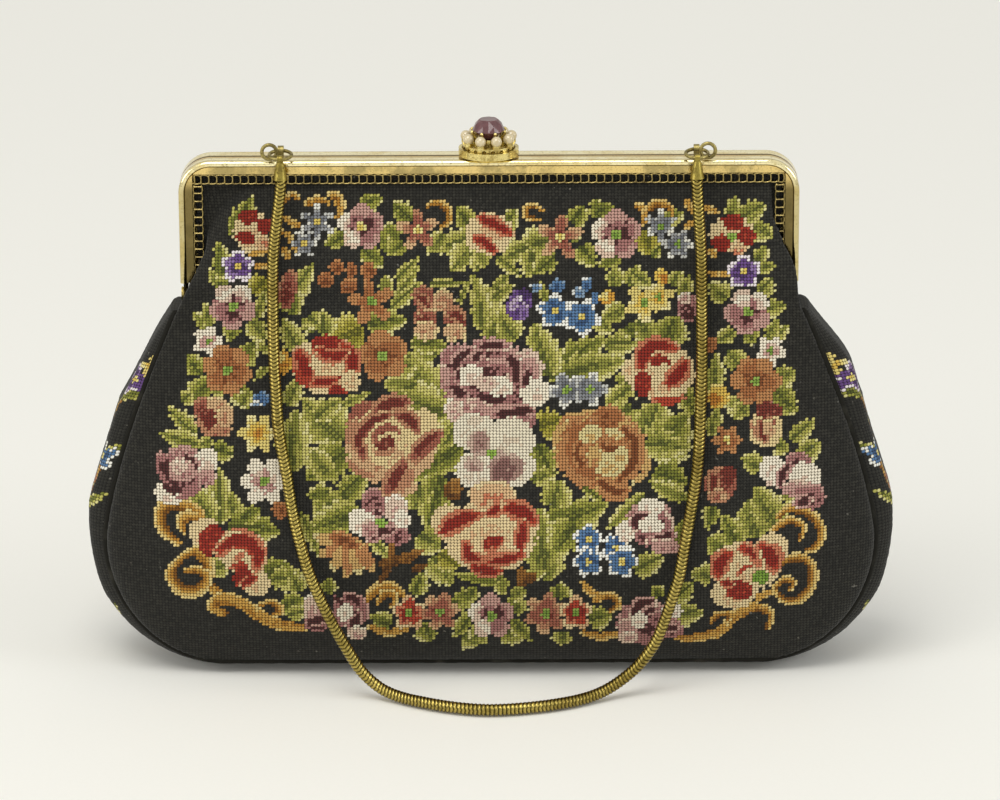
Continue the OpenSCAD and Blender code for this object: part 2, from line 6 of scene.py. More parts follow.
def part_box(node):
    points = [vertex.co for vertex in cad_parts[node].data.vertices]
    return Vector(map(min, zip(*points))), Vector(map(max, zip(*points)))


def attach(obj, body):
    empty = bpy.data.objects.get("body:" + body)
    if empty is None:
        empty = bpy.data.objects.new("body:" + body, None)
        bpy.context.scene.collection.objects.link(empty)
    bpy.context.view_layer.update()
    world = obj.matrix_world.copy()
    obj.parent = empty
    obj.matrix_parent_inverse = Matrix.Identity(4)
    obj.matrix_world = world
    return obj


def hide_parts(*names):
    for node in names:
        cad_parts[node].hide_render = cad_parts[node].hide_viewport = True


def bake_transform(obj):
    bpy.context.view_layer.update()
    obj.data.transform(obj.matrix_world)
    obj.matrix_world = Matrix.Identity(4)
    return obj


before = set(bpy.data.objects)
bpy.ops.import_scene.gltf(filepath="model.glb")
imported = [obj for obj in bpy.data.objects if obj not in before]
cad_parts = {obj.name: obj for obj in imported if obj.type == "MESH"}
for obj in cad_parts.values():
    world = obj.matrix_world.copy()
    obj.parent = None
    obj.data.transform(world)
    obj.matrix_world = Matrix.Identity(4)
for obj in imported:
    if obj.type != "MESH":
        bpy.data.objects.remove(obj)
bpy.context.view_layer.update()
scene = bpy.context.scene
scene.view_settings.view_transform = "Standard"
mm = 0.001

# The table, the light and the camera. A pale paper table under soft studio light: one broad lamp
# overhead to the front, one on each side. The camera looks down on the bag from the front.


def lay_mesh(name, points, faces, smooth=True):
    """Mesh object from an array of points in millimetres and an array of faces of equal size."""
    mesh = bpy.data.meshes.new(name)
    points = np.asarray(points, np.float32).reshape(-1, 3) * mm
    faces = np.asarray(faces, np.int32)
    sides = faces.shape[1]
    mesh.vertices.add(len(points))
    mesh.vertices.foreach_set("co", points.ravel())
    mesh.loops.add(faces.size)
    mesh.loops.foreach_set("vertex_index", faces.ravel())
    mesh.polygons.add(len(faces))
    mesh.polygons.foreach_set("loop_start", np.arange(len(faces), dtype=np.int32) * sides)
    mesh.polygons.foreach_set("use_smooth", np.full(len(faces), smooth))
    mesh.update(calc_edges=True)
    piece = bpy.data.objects.new(name, mesh)
    scene.collection.objects.link(piece)
    return piece


def linear(hex_colour):
    """Linear red, green, blue and alpha of a colour written as in a paint list."""
    c = np.array([int(hex_colour[i:i + 2], 16) for i in (1, 3, 5)]) / 255
    return (*np.where(c < 0.04045, c / 12.92, ((c + 0.055) / 1.055) ** 2.4), 1.0)


def new_finish(name):
    """An empty material with its Principled BSDF, and the tree that the finish is drawn in."""
    finish = bpy.data.materials.new(name)
    finish.use_nodes = True
    tree = finish.node_tree
    return finish, tree, tree.nodes["Principled BSDF"]


def add(tree, kind, sockets=None, **settings):
    """One node in a tree. A socket takes a value or another node's output."""
    node = tree.nodes.new(kind)
    for key, value in settings.items():
        setattr(node, key, value)
    for key, value in (sockets or {}).items():
        if isinstance(value, bpy.types.NodeSocket):
            tree.links.new(value, node.inputs[key])
        else:
            node.inputs[key].default_value = value
    return node


def mixed(tree, share, first, second, blend="MIX"):
    """Colour that goes from the first to the second as share goes from 0 to 1."""
    node = add(tree, "ShaderNodeMix", {0: share, 6: first, 7: second}, data_type="RGBA",
               blend_type=blend)
    return node.outputs[2]


def stepped(tree, value, low, high):
    """0 below low, 1 above high, smooth between."""
    node = add(tree, "ShaderNodeMapRange", {0: value, 1: low, 2: high, 3: 0.0, 4: 1.0},
               interpolation_type="SMOOTHSTEP")
    return node.outputs[0]


def figured(tree, operation, first, second=0.0):
    """Arithmetic on two values."""
    return add(tree, "ShaderNodeMath", {0: first, 1: second}, operation=operation).outputs[0]


def on_object(tree):
    """Place on the piece, in metres."""
    return add(tree, "ShaderNodeTexCoord").outputs["Object"]


def noise(tree, place, scale, detail=2.0, roughness=0.5):
    """Cloudy pattern at a place, mostly from 0.3 to 0.7, with about scale clouds to the metre."""
    return add(tree, "ShaderNodeTexNoise", {"Vector": place, "Scale": scale, "Detail": detail,
                                            "Roughness": roughness}).outputs[0]


def give(skin, values):
    """Sets inputs of a shader by name."""
    for name, value in values.items():
        skin.inputs[name].default_value = value


table_half = 4000.0
table = lay_mesh("table", np.array([[-1, -1, 0], [1, -1, 0], [1, 1, 0], [-1, 1, 0]]) * table_half,
                 [[0, 1, 2, 3]])
paper, tree, skin = new_finish("table_paper")
where = on_object(tree)
fibre = noise(tree, where, 900.0)
tree.links.new(mixed(tree, fibre, linear("#f2f1ea"), linear("#f5f4ee")), skin.inputs["Base Color"])
give(skin, {"Roughness": 0.9, "Emission Color": linear("#f2f0e6")})
# Where it is seen or mirrored the table glows a little, more towards the back
rays = add(tree, "ShaderNodeLightPath")
seen = figured(tree, "MAXIMUM", rays.outputs["Is Camera Ray"], figured(
    tree, "MAXIMUM", rays.outputs["Is Glossy Ray"], rays.outputs["Is Transmission Ray"]))
far = stepped(tree, add(tree, "ShaderNodeSeparateXYZ", {0: where}).outputs[1], -0.4, 1.7)
glow = figured(tree, "ADD", figured(tree, "MULTIPLY", far, 0.26), 0.03)
tree.links.new(figured(tree, "MULTIPLY", seen, glow), skin.inputs["Emission Strength"])
table.data.materials.append(paper)

world = bpy.data.worlds.new("studio")
world.use_nodes = True
scene.world = world
tree = world.node_tree
rays = add(tree, "ShaderNodeLightPath")
seen = figured(tree, "MAXIMUM", rays.outputs["Is Camera Ray"], rays.outputs["Is Glossy Ray"])
sky = tree.nodes["Background"]
tree.links.new(mixed(tree, seen, linear("#e4e4e2"), linear("#ecebe4")), sky.inputs["Color"])
level = add(tree, "ShaderNodeMapRange", {0: seen, 3: 0.62, 4: 0.9})
tree.links.new(level.outputs[0], sky.inputs["Strength"])


def hang_lamp(name, place, aim, size, watts, colour):
    """A square soft lamp at a place, turned towards its aim."""
    lamp = bpy.data.lights.new(name, "AREA")
    lamp.size = size
    lamp.energy = watts
    lamp.color = colour
    held = bpy.data.objects.new(name, lamp)
    held.location = place
    held.rotation_euler = (Vector(aim) - Vector(place)).to_track_quat("-Z", "Y").to_euler()
    scene.collection.objects.link(held)


hang_lamp("lamp_top", (-0.25, -0.55, 1.35), aim=(0, 0, 0.06), size=0.9, watts=9.0,
          colour=(1.0, 0.985, 0.95))
hang_lamp("lamp_left", (-1.3, -0.7, 0.6), aim=(0, 0, 0.08), size=0.7, watts=4.5,
          colour=(1.0, 0.98, 0.95))
hang_lamp("lamp_right", (1.3, -0.5, 0.7), aim=(0, 0, 0.08), size=0.7, watts=5.0,
          colour=(0.97, 0.985, 1.0))

camera = bpy.data.cameras.new("camera")
camera.lens = 198.0
camera.sensor_width = 36.0
camera.sensor_fit = "HORIZONTAL"
camera.clip_start = 0.05
held = bpy.data.objects.new("camera", camera)
scene.collection.objects.link(held)
scene.camera = held
camera_place = np.array([11.3, -1446.0, 540.0])
yaw, pitch, roll = np.radians([-0.34, -17.88, -0.3])
ahead = Vector((np.sin(yaw) * np.cos(pitch), np.cos(yaw) * np.cos(pitch), np.sin(pitch)))
across = Vector((np.cos(yaw), -np.sin(yaw), 0))
upward = across.cross(ahead)
across, upward = (across * np.cos(roll) + upward * np.sin(roll),
                  upward * np.cos(roll) - across * np.sin(roll))
held.matrix_world = Matrix.Translation(camera_place * mm) @ Matrix(
    (across, upward, -ahead)).transposed().to_4x4()

# The handle: a snake chain of folded brass plates, one ferrule on each end. It hangs from the rings
# over the front panel, and its bow lies on the table in front of the bag.


def carry(route, profile):
    """Profile carried along a route. At each point the ring's first axis lies square to the route
    and to the bag's depth, its second axis square to both; profile is [points, ring, 2]."""
    along = np.gradient(route, axis=0)
    along /= np.linalg.norm(along, axis=1, keepdims=True)
    first = np.cross(along, [0.0, 1.0, 0.0])
    first /= np.linalg.norm(first, axis=1, keepdims=True)
    second = np.cross(along, first)
    return (route[:, None] + profile[..., :1] * first[:, None] + profile[..., 1:] * second[:, None])


def grid_faces(rows, cols, closed=False):
    """Four-sided faces of a grid of points; closed joins the last column to the first."""
    i, j = np.meshgrid(np.arange(rows - 1), np.arange(cols if closed else cols - 1), indexing="ij")
    k = (j + 1) % cols
    return np.stack([i * cols + j, i * cols + k, (i + 1) * cols + k, (i + 1) * cols + j],
                    -1).reshape(-1, 4)


def even_route(points, step):
    """Points a step apart along the smooth curve through some points: four-point midpoints are put
    in four times, then the length along the curve is divided evenly."""
    route = np.asarray(points, float)
    for _ in range(4):
        before = np.vstack([2 * route[0] - route[1], route, 2 * route[-1] - route[-2]])
        middle = (9 * (before[1:-2] + before[2:-1]) - before[:-3] - before[3:]) / 16
        woven = np.empty((2 * len(route) - 1, 3))
        woven[0::2], woven[1::2] = route, middle
        route = woven
    run = np.concatenate([[0], np.cumsum(np.linalg.norm(np.diff(route, axis=0), axis=1))])
    even = np.linspace(0, run[-1], int(run[-1] / step) + 1)
    return np.stack([np.interp(even, run, route[:, k]) for k in range(3)], -1), even


def add_uv(piece, places):
    """UV map from one place for each corner of each face."""
    layer = piece.data.uv_layers.new(name="stitches")
    layer.data.foreach_set("uv", np.asarray(places, np.float32).ravel())


def close_round(places, girth):
    """Places on the faces of a tube, where a face over the join of its ring goes on past the girth
    and doesn't start again from 0."""
    first, second = places[..., 0], places[..., 1]
    joined = second < second.max(1, keepdims=True) - girth / 2
    return np.stack([first, np.where(joined, second + girth, second)], -1)


frame_top_z = 143.5
chain_d = 3.3
pivot_y, pivot_z, ring_r, ring_tilt = -2.85, frame_top_z + 2.4, 3.0, np.radians(9)
lug_x, cap_tilt, cap_long = 56.5, np.radians(4), 5.6
cap_at = np.array([-lug_x, pivot_y - 2 * ring_r * np.cos(ring_tilt),
                   pivot_z - 2 * ring_r * np.sin(ring_tilt)])
cap_along = np.array([0, -np.sin(cap_tilt), -np.cos(cap_tilt)])
cap_foot = cap_at + cap_long * cap_along
cap_exit = np.array([cap_foot + 0.05 * cap_along, cap_foot + 3 * cap_along])
hang = np.vstack([cap_exit, [
    [-58.6, -11.2, 119.3], [-58.9, -13.2, 104.6], [-58.8, -15.3, 92.7], [-58.4, -17.3, 83],
    [-57.8, -19.5, 73.3], [-56.8, -21.1, 66.1], [-55.5, -22.9, 59.3], [-54, -25.4, 49.8],
    [-51.8, -28.3, 40.9], [-49.2, -30.6, 33], [-46, -32.6, 25.8], [-42.4, -34.4, 18.8],
    [-38.6, -35.8, 12.4], [-35.2, -36.9, 7.4], [-30.2, -38.8, 3.4], [-25, -41.8, 2],
    [-19, -45.6, 1.9], [-10, -49.8, 1.9], [0, -51.8, 1.9], [11, -50.1, 1.9], [20, -46.8, 1.9],
    [26.5, -43, 2], [32.2, -39.4, 3.2], [38, -36.8, 6.6], [42, -35.8, 10.6], [45.8, -34.4, 16.4],
    [49.4, -32.2, 25.8], [51.7, -30.4, 33], [53, -28.6, 40], [54.8, -25.5, 49.5],
    [56.4, -22.9, 58.9], [57.2, -20.7, 68.3], [57.7, -17.4, 82.7], [57.9, -15.3, 92.5],
    [57.8, -13, 106], [57.6, -11.2, 119.3]], cap_exit[::-1] * [-1, 1, 1]])
plate_pitch, groove_deep, chain_sides = 1.07, 0.24, 20
# Six points of the route to each plate
route, run = even_route(hang, plate_pitch / 6)
turn = np.arange(chain_sides) / chain_sides * 2 * np.pi
# Height of the plates: a saw tooth along the chain, its phase folded into a V round the chain. The
# V points the same way on both sides of the bag, so it turns round at the bow
fold = np.abs(((turn / np.pi * 2) % 2) - 1)
downwards = np.clip((run[-1] / 2 - run) / 12, -1, 1)
phase = (run[:, None] / plate_pitch + 0.75 * downwards[:, None] * fold[None]) % 1
lift = np.clip(phase * 1.25, 0, 1) * np.clip((1 - phase) * 8, 0, 1)
radius = chain_d / 2 - groove_deep * (1 - lift)
ring = np.stack([radius * np.cos(turn), radius * np.sin(turn)], -1)
tube = carry(route, ring)
faces = grid_faces(len(route), chain_sides, True)
chain = lay_mesh("snake_chain", tube, faces)
share = np.stack(np.broadcast_arrays(run[:, None] / plate_pitch, turn[None] / (2 * np.pi)), -1)
add_uv(chain, close_round(share.reshape(-1, 2)[faces], 1.0))
depth = chain.data.attributes.new("groove", "FLOAT", "POINT")
depth.data.foreach_set("value", (1 - lift).astype(np.float32).ravel())


def tarnish_group():
    """Old metal: broad clouds of tarnish and fine speckle, from the place on the bag. Cloud is the
    tarnish mask, Speckle the fine one, Height the dents for a bump."""
    group = bpy.data.node_groups.new("tarnish", "ShaderNodeTree")
    for name, way in (("Cloud Scale", "INPUT"), ("Speckle Scale", "INPUT"), ("Cloud", "OUTPUT"),
                      ("Speckle", "OUTPUT"), ("Height", "OUTPUT")):
        group.interface.new_socket(name, in_out=way, socket_type="NodeSocketFloat")
    start, end = add(group, "NodeGroupInput"), add(group, "NodeGroupOutput")
    place = on_object(group)
    broad = noise(group, place, start.outputs[0], 5.0, 0.65)
    fine = noise(group, place, start.outputs[1], 3.0, 0.7)
    group.links.new(stepped(group, broad, 0.46, 0.62), end.inputs[0])
    group.links.new(stepped(group, fine, 0.52, 0.68), end.inputs[1])
    group.links.new(figured(group, "ADD", figured(group, "MULTIPLY", broad, 0.6),
                            figured(group, "MULTIPLY", fine, 0.4)), end.inputs[2])
    return group


tarnish = tarnish_group()


def old_metal(name, bright, dull, dark, roughness, cloud, speckle, bump, grooved=False):
    """Plated metal worn to a duller one, with dark tarnish in the specks, and painted shade in the grooves.
    """
    finish, tree, skin = new_finish(name)
    worn = add(tree, "ShaderNodeGroup", {"Cloud Scale": cloud, "Speckle Scale": speckle},
               node_tree=tarnish)
    colour = mixed(tree, worn.outputs["Cloud"], linear(bright), linear(dull))
    colour = mixed(tree, figured(tree, "MULTIPLY", worn.outputs["Speckle"], 0.6), colour, linear(dark))
    if grooved:
        # Painted shade: the colour goes to the dark tone in the grooves between the plates
        deep = add(tree, "ShaderNodeAttribute", attribute_name="groove").outputs["Fac"]
        colour = mixed(tree, stepped(tree, deep, 0.15, 0.95), colour, linear(dark))
    tree.links.new(colour, skin.inputs["Base Color"])
    rough = add(tree, "ShaderNodeMapRange", {0: worn.outputs["Height"], 1: 0.3, 2: 0.7,
                                             3: roughness * 0.75, 4: roughness * 1.5})
    tree.links.new(rough.outputs[0], skin.inputs["Roughness"])
    dents = add(tree, "ShaderNodeBump", {"Height": worn.outputs["Height"], "Strength": bump,
                                         "Distance": 0.0002})
    tree.links.new(dents.outputs[0], skin.inputs["Normal"])
    give(skin, {"Metallic": 1.0})
    return finish


chain_brass = old_metal("chain_brass", "#bba75a", "#958240", "#2a240e", roughness=0.26, cloud=60.0,
                        speckle=900.0, bump=0.15, grooved=True)
chain.data.materials.append(chain_brass)
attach(chain, "handle")
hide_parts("chain")

# Rings, ferrules and lugs: round brass wire and folded sheet, dull with age. Each frame ring lies
# in a lug soldered on the frame, carries the ferrule of the chain and has a link ring at its side.
ring_brass = old_metal("ring_brass", "#a3955e", "#7a6e44", "#332c18", roughness=0.36, cloud=220.0,
                       speckle=1800.0, bump=0.25)
cap_brass = old_metal("ferrule_brass", "#9f8f48", "#7a6b36", "#352c12", roughness=0.36, cloud=260.0,
                      speckle=1500.0, bump=0.3)


def dress(names, finish, width=0.0):
    """Gives CAD nodes a finish, and a small rounded edge of a width that catches the light."""
    for name in names:
        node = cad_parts[name]
        node.data.materials.clear()
        node.data.materials.append(finish)
        if width:
            edge = node.modifiers.new("soft_edge", "BEVEL")
            edge.width = width * mm
            edge.segments = 2
            edge.limit_method = "ANGLE"
            edge.angle_limit = np.radians(40)


dress(["frame_ring_left", "frame_ring_right", "link_ring_left", "link_ring_right"], ring_brass)
dress(["end_cap_left", "end_cap_right"], cap_brass)
dress(["lug_left", "lug_right"], ring_brass, 0.1)

# The frame: two halves of drawn brass channel, gilt, hinged by a rivet in each lower corner. Each
# has a rolled outer bead and a recessed apron; the gilding is worn in patches.
gilt = old_metal("worn_gilt", "#fff3c2", "#f2de9e", "#9a8654", roughness=0.14, cloud=130.0,
                 speckle=1400.0, bump=0.3)
frame_half, rails_deep, corner_r = 84.5, 5.5, 9.0
tree = gilt.node_tree
skin = tree.nodes["Principled BSDF"]
rails = skin.inputs["Base Color"].links[0].from_socket
place = add(tree, "ShaderNodeSeparateXYZ", {0: on_object(tree)})
down = figured(tree, "SUBTRACT", frame_top_z * mm, place.outputs[2])
# Painted highlights and reflections on the rolled rails: bright bands with dull lines between
# them, across the depth of both halves
painted_rail_highlights = add(tree, "ShaderNodeValToRGB", {0: add(tree, "ShaderNodeMapRange", {
    0: place.outputs[1], 1: -rails_deep * mm, 2: rails_deep * mm}).outputs[0]})
stops = painted_rail_highlights.color_ramp.elements
stops[0].position, stops[0].color = 0.0, linear("#ffffff")
stops[1].position, stops[1].color = 1.0, linear("#a89c78")
for at, tone in ((0.05, "#ffffff"), (0.1, "#b8a878"), (0.16, "#ffffff"), (0.3, "#ffffff"),
                 (0.36, "#d2bd88"), (0.46, "#d8c590"), (0.5, "#7d6c42"), (0.56, "#b4a274"),
                 (0.62, "#ffffff"), (0.86, "#ffffff")):
    stops.new(at).color = linear(tone)
rails = mixed(tree, 1.0, rails, painted_rail_highlights.outputs[0], "MULTIPLY")
# Depth inside the frame's rounded outline: the bead, a thin line of painted shade, then the tarnished apron
near_side = figured(tree, "MAXIMUM", 0.0, figured(
    tree, "ADD", (corner_r - frame_half) * mm, figured(tree, "ABSOLUTE", place.outputs[0])))
near_top = figured(tree, "MAXIMUM", 0.0, figured(tree, "SUBTRACT", corner_r * mm, down))
squares = figured(tree, "ADD", figured(tree, "MULTIPLY", near_side, near_side),
                  figured(tree, "MULTIPLY", near_top, near_top))
inside = figured(tree, "SUBTRACT", corner_r * mm, figured(tree, "SQRT", squares))
worn = add(tree, "ShaderNodeGroup", {"Cloud Scale": 85.0, "Speckle Scale": 2600.0}, node_tree=tarnish)
apron = mixed(tree, worn.outputs["Cloud"], linear("#ecd088"), linear("#b3a06a"))
apron = mixed(tree, figured(tree, "MULTIPLY", worn.outputs["Speckle"], 0.6), apron, linear("#80703f"))
# The arms are duller than the top rail
sides = stepped(tree, down, 0.004, 0.009)
apron = mixed(tree, figured(tree, "MULTIPLY", sides, 0.85), apron, linear("#5a4f2e"))
rails = mixed(tree, figured(tree, "MULTIPLY", sides, 0.6), rails, linear("#a08e52"))
# A thin line of painted shade in the cove between the bead and the apron
apron = mixed(tree, stepped(tree, inside, 0.0016, 0.0018), linear("#77673a"), apron)
tree.links.new(mixed(tree, stepped(tree, inside, 0.0013, 0.0015), rails, apron), skin.inputs["Base Color"])
gilt_small = old_metal("gilt_fittings", "#e8d68e", "#b9a462", "#4a3d1e", roughness=0.24, cloud=300.0,
                       speckle=2200.0, bump=0.2)
dress(["front_frame", "back_frame"], gilt, 0.12)
dress(["hinge_rivet_left", "hinge_rivet_right", "clasp_bracket", "clasp_pin"], gilt_small, 0.1)

# The ladder trim: a pierced strip of gilt brass, two wavy rails and rounded rungs, laid in lengths
# round the inner edge of each apron.
apron_h, ladder_h, ladder_pitch = 3.8, 3.0, 2.15
apron_front, ladder_proud, ladder_t, ladder_gap = 4.7, 0.1, 0.8, 0.1
frame_h, ear_d, foot_gap, trim_gap = 39.0, 6.0, 1.5, 0.5
trim_edge = apron_h + ladder_h
hinge_z = frame_top_z - frame_h
ladder_foot_z = hinge_z + ear_d / 2 + foot_gap + trim_gap


def ladder_strip(length, bow):
    """Points and faces of a strip along x from 0, rising along y, its front towards z. The two
    rails are half rounds that bulge outwards beside each hole and pinch at each rung; a rung is a
    half round between them, bent sideways by an arc of the given bow and wider at its feet."""
    count = int(length // ladder_pitch)
    step = length / count
    along = np.linspace(0, length, count * 8 + 1)
    arch = np.linspace(0, np.pi, 6)
    rail_in, rail_half, rail_sway, rail_rise = 0.52, 0.25, 0.26, 0.75
    bulge = np.abs(np.sin(np.pi * along / step)) ** 0.7
    points, faces, base = [], [], 0
    for middle, outwards in ((rail_in, -1), (ladder_h - rail_in, 1)):
        centre = middle + outwards * rail_sway * bulge
        rail = np.stack(np.broadcast_arrays(along[:, None], centre[:, None] + rail_half * np.cos(arch),
                                            rail_rise * np.sin(arch)[None]), -1)
        points.append(rail.reshape(-1, 3))
        faces.append(grid_faces(len(along), len(arch)) + base)
        base += len(along) * len(arch)
    up = np.linspace(0.3, ladder_h - 0.3, 9)
    share = 2 * up / ladder_h - 1
    girth = 0.27 + 0.16 * share ** 2
    across = (bow * (1 - share ** 2))[:, None] + girth[:, None] * np.cos(arch)
    rung = np.stack(np.broadcast_arrays(across, up[:, None], 0.2 + 0.7 * np.sin(arch)[None]), -1)
    places = np.arange(count + 1) * step
    places[0], places[-1] = 0.4, length - 0.4 - bow
    rungs = rung[None] + np.stack([places, 0 * places, 0 * places], -1)[:, None, None]
    points.append(rungs.reshape(-1, 3))
    faces.append((grid_faces(len(up), len(arch))[None, :, ::-1] + base
                  + len(arch) * len(up) * np.arange(count + 1)[:, None, None]).reshape(-1, 4))
    return np.vstack(points), np.vstack(faces)


ladder_gilt = old_metal("ladder_gilt", "#b09d64", "#80714a", "#352c16", roughness=0.26, cloud=200.0,
                        speckle=1800.0, bump=0.2)
top_length = 2 * frame_half - 2 * apron_h
side_length = frame_top_z - trim_edge - ladder_gap - ladder_foot_z
for half, face, body in (("front", -1, "bag"), ("back", 1, "back_half")):
    for part, length in (("top", top_length), ("left", side_length), ("right", side_length)):
        p, f = ladder_strip(length, 0.3 if part == "top" else 0.0)
        deep = face * (apron_front + ladder_proud - ladder_t + p[:, 2])
        if part == "top":
            place = np.stack([p[:, 0] - length / 2, deep, frame_top_z - trim_edge + p[:, 1]], -1)
        else:
            side = -1 if part == "left" else 1
            place = np.stack([side * (frame_half - apron_h - p[:, 1]), deep,
                              ladder_foot_z + p[:, 0]], -1)
        mirrored = face > 0 if part == "top" else face * side > 0
        trim = lay_mesh(f"{half}_trim_{part}", place, f[:, ::-1] if mirrored else f)
        wall = trim.modifiers.new("thickness", "SOLIDIFY")
        wall.thickness = 0.12 * mm
        trim.data.materials.append(ladder_gilt)
        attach(trim, body)
        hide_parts(f"{half}_ladder_{part}")

# The front panel: petit point in wool and silk on fine black canvas, a flower border round a
# bouquet. It is sewn to the gusset in a piped seam, drawn in under the frame and tucked at the
# frame's two corners.
bag_half, half_deep, belly_z, seam_z = 112.0, 28.0, 38.0, 4.0
base_half, base_deep, side_deep, seam_half = 75.0, 18.0, 12.5, 106.0
throat_z, cloth_top_z = frame_top_z - trim_edge - 0.2, frame_top_z - 2.8
neck_z, tuck_z = hinge_z + frame_h * 0.026, hinge_z + frame_h * 0.385
neck_half, mouth_half, neck_deep, channel_d, pipe_gap = 84.0, 77.3, 8.5, 3.7, 1.6
stitch = 0.9


def ramp(value, start, length):
    """0 up to the start, 1 from a length later on, straight between."""
    return np.clip((value - start) / length, 0, 1)


def cloth_deep(z):
    """Depth of the cloth in the middle: full at the belly, drawn in to the frame at the throat."""
    return half_deep - (half_deep - channel_d) * ramp(z, belly_z, throat_z - belly_z) ** 0.85


def rise(z):
    """Share of the way from the belly to the neck."""
    return ramp(z, belly_z, neck_z - belly_z)


def tuck(z):
    """Share of the way from the neck to the tuck."""
    return ramp(z, neck_z, tuck_z - neck_z)


def seam_x(z):
    """Half width of a panel above the belly."""
    return seam_half - (seam_half - neck_half) * rise(z) ** 1.4 - (neck_half - mouth_half) * tuck(z)


def seam_y(z):
    """Depth of a panel's side edge above the belly."""
    return side_deep + (neck_deep - side_deep) * rise(z) + (cloth_deep(z) - neck_deep) * tuck(z)


def panel_rows():
    """Rows of the panel from the bottom seam up, a stitch apart down the middle: height, half
    width, edge depth and middle depth. Below the belly the rows go round a quarter turn."""
    a = np.linspace(np.radians(9), np.pi / 2, 200)
    low = np.stack([belly_z - (belly_z - seam_z) * np.cos(a),
                    seam_half - (seam_half - base_half) * (1 - np.sin(a)),
                    base_deep + (side_deep - base_deep) * np.sin(a),
                    base_deep + (half_deep - base_deep) * np.sin(a)], -1)
    z = np.linspace(belly_z, cloth_top_z, 400)[1:]
    high = np.stack([z, seam_x(z), seam_y(z), np.maximum(cloth_deep(z), seam_y(z))], -1)
    rows = np.vstack([low, high])
    run = np.concatenate([[0], np.cumsum(np.hypot(np.diff(rows[:, 0]), np.diff(rows[:, 3])))])
    even = np.arange(0, run[-1], 0.94 * stitch)
    return np.stack([np.interp(even, run, rows[:, k]) for k in range(4)], -1)


def settle(x, deep, z, folds):
    """Depth of the cloth as it hangs: it falls back outside a fold that runs from the frame's
    corner down to the seam, and ripples by a few tenths of a millimetre."""
    fold_wide, fold_foot_z, crest_wide, crest_foot_z, crest_high, fade = 7, 92, 3.0, 88, 0.9, 14
    back = np.zeros_like(deep)
    for side, (x0, z0, x1, z1, fall) in folds:
        across = ((side * x - x0) * (z0 - z1) + (z - z0) * (x1 - x0)) / np.hypot(x1 - x0, z1 - z0)
        away = ramp(across, 0, fold_wide)
        away = away * away * (3 - 2 * away) * ramp(z, fold_foot_z, fade)
        crest = np.exp(-(across / crest_wide) ** 2) * ramp(z, crest_foot_z, fade)
        crest *= ramp(throat_z - z, 0, 8)
        back += np.where(side * x > 0, fall * away - crest_high * crest, 0)
    ripple = (0.35 * np.sin(0.062 * x + 0.05 * z + 0.7) * np.sin(0.083 * z - 0.021 * x)
              + 0.22 * np.sin(0.14 * x - 0.09 * z + 2.0) * np.sin(0.05 * x + 0.11 * z))
    ripple *= ramp(throat_z - z, 0, 15) * ramp(z, 6, 20)
    least = np.where(z > tuck_z, 2.9, 5.0)
    return np.maximum(deep - back - ripple, least)


def canvas_grid(folds, limit=None, slack=0.0):
    """Points of the panel a stitch apart along each row, counted from the middle: the row bulges
    as the root of 1 - |u| to the power 2.5, and its edge turns in to the seam. On the right it has
    some slack over the frame's arm. Above the neck the edge goes back beside the ladder trim and on
    into the frame's channel. Returns points, and a mask of what lies in the panel."""
    rows = panel_rows()
    z, tucked = rows[:, :1], tuck(rows[:, :1])
    half = rows[:, 1] if limit is None else np.minimum(rows[:, 1], limit(rows[:, 0]))
    half = half[:, None]
    u = np.sin(np.linspace(0, np.pi / 2, 500))
    x = u[None] * (half - 0.2)
    spare = np.maximum(0, rows[:, 3:] - rows[:, 2:3])
    gap = np.minimum(pipe_gap, spare + pipe_gap * (1 - tucked))
    y = rows[:, 2:3] + gap + np.maximum(0, spare - pipe_gap) * np.sqrt(1 - u[None] ** 2.5)
    y -= tucked * np.clip(y - 4.4, 0, 1.6) * ramp(x - x[:, -1:], -5, 5) ** 2
    turned = np.linspace(0.1, 1.0, 8) * gap * (1 - tucked)
    x = np.concatenate([x, x[:, -1:] + 0.08 * turned], 1)
    y = np.concatenate([y, y[:, -1:] - turned], 1)
    hold = ramp(z, neck_z, 3)
    mouth_x, arm_low_z, arm_long = mouth_half - 0.3, 102, 29
    channel_x = mouth_x + 3.2 * ramp(z - hinge_z, 7, 4)
    sides, longest = [], 0
    for side in (-1, 1):
        loose = slack * (side > 0) * np.sin(np.pi * ramp(z, arm_low_z, arm_long)) ** 2
        sx = x * (1 + loose / half)
        sy = settle(side * sx, y, z, folds)
        for to_x, to_y in ((mouth_x, 5.3), (mouth_x, 3.1), (channel_x, 3.0)):
            share = hold * np.linspace(0.2, 1, 5)
            end_x, end_y = sx[:, -1:], sy[:, -1:]
            next_x = np.minimum(to_x, np.maximum(end_x, channel_x))
            sx = np.concatenate([sx, end_x + (next_x - end_x) * share], 1)
            sy = np.concatenate([sy, end_y + (np.minimum(to_y, end_y) - end_y) * share], 1)
        run = np.cumsum(np.hypot(np.diff(sx, prepend=0), np.diff(sy, prepend=sy[:, :1])), axis=1)
        sides.append((sx, sy, run))
        longest = max(longest, run.max())
    even = np.arange(int(longest / stitch) + 1) * stitch
    left, right = (np.stack([np.stack([np.interp(even, r, px), np.interp(even, r, py)], -1)
                             for px, py, r in zip(*side)]) for side in sides)
    inside = [even[None] <= run[:, -1:] + 0.4 * stitch for _, _, run in sides]
    flat = np.concatenate([left[:, :0:-1] * [-1, 1], right], 1)
    points = np.stack([flat[..., 0], -flat[..., 1], np.repeat(z, flat.shape[1], 1)], -1)
    return points, np.concatenate([inside[0][:, :0:-1], inside[1]], 1)


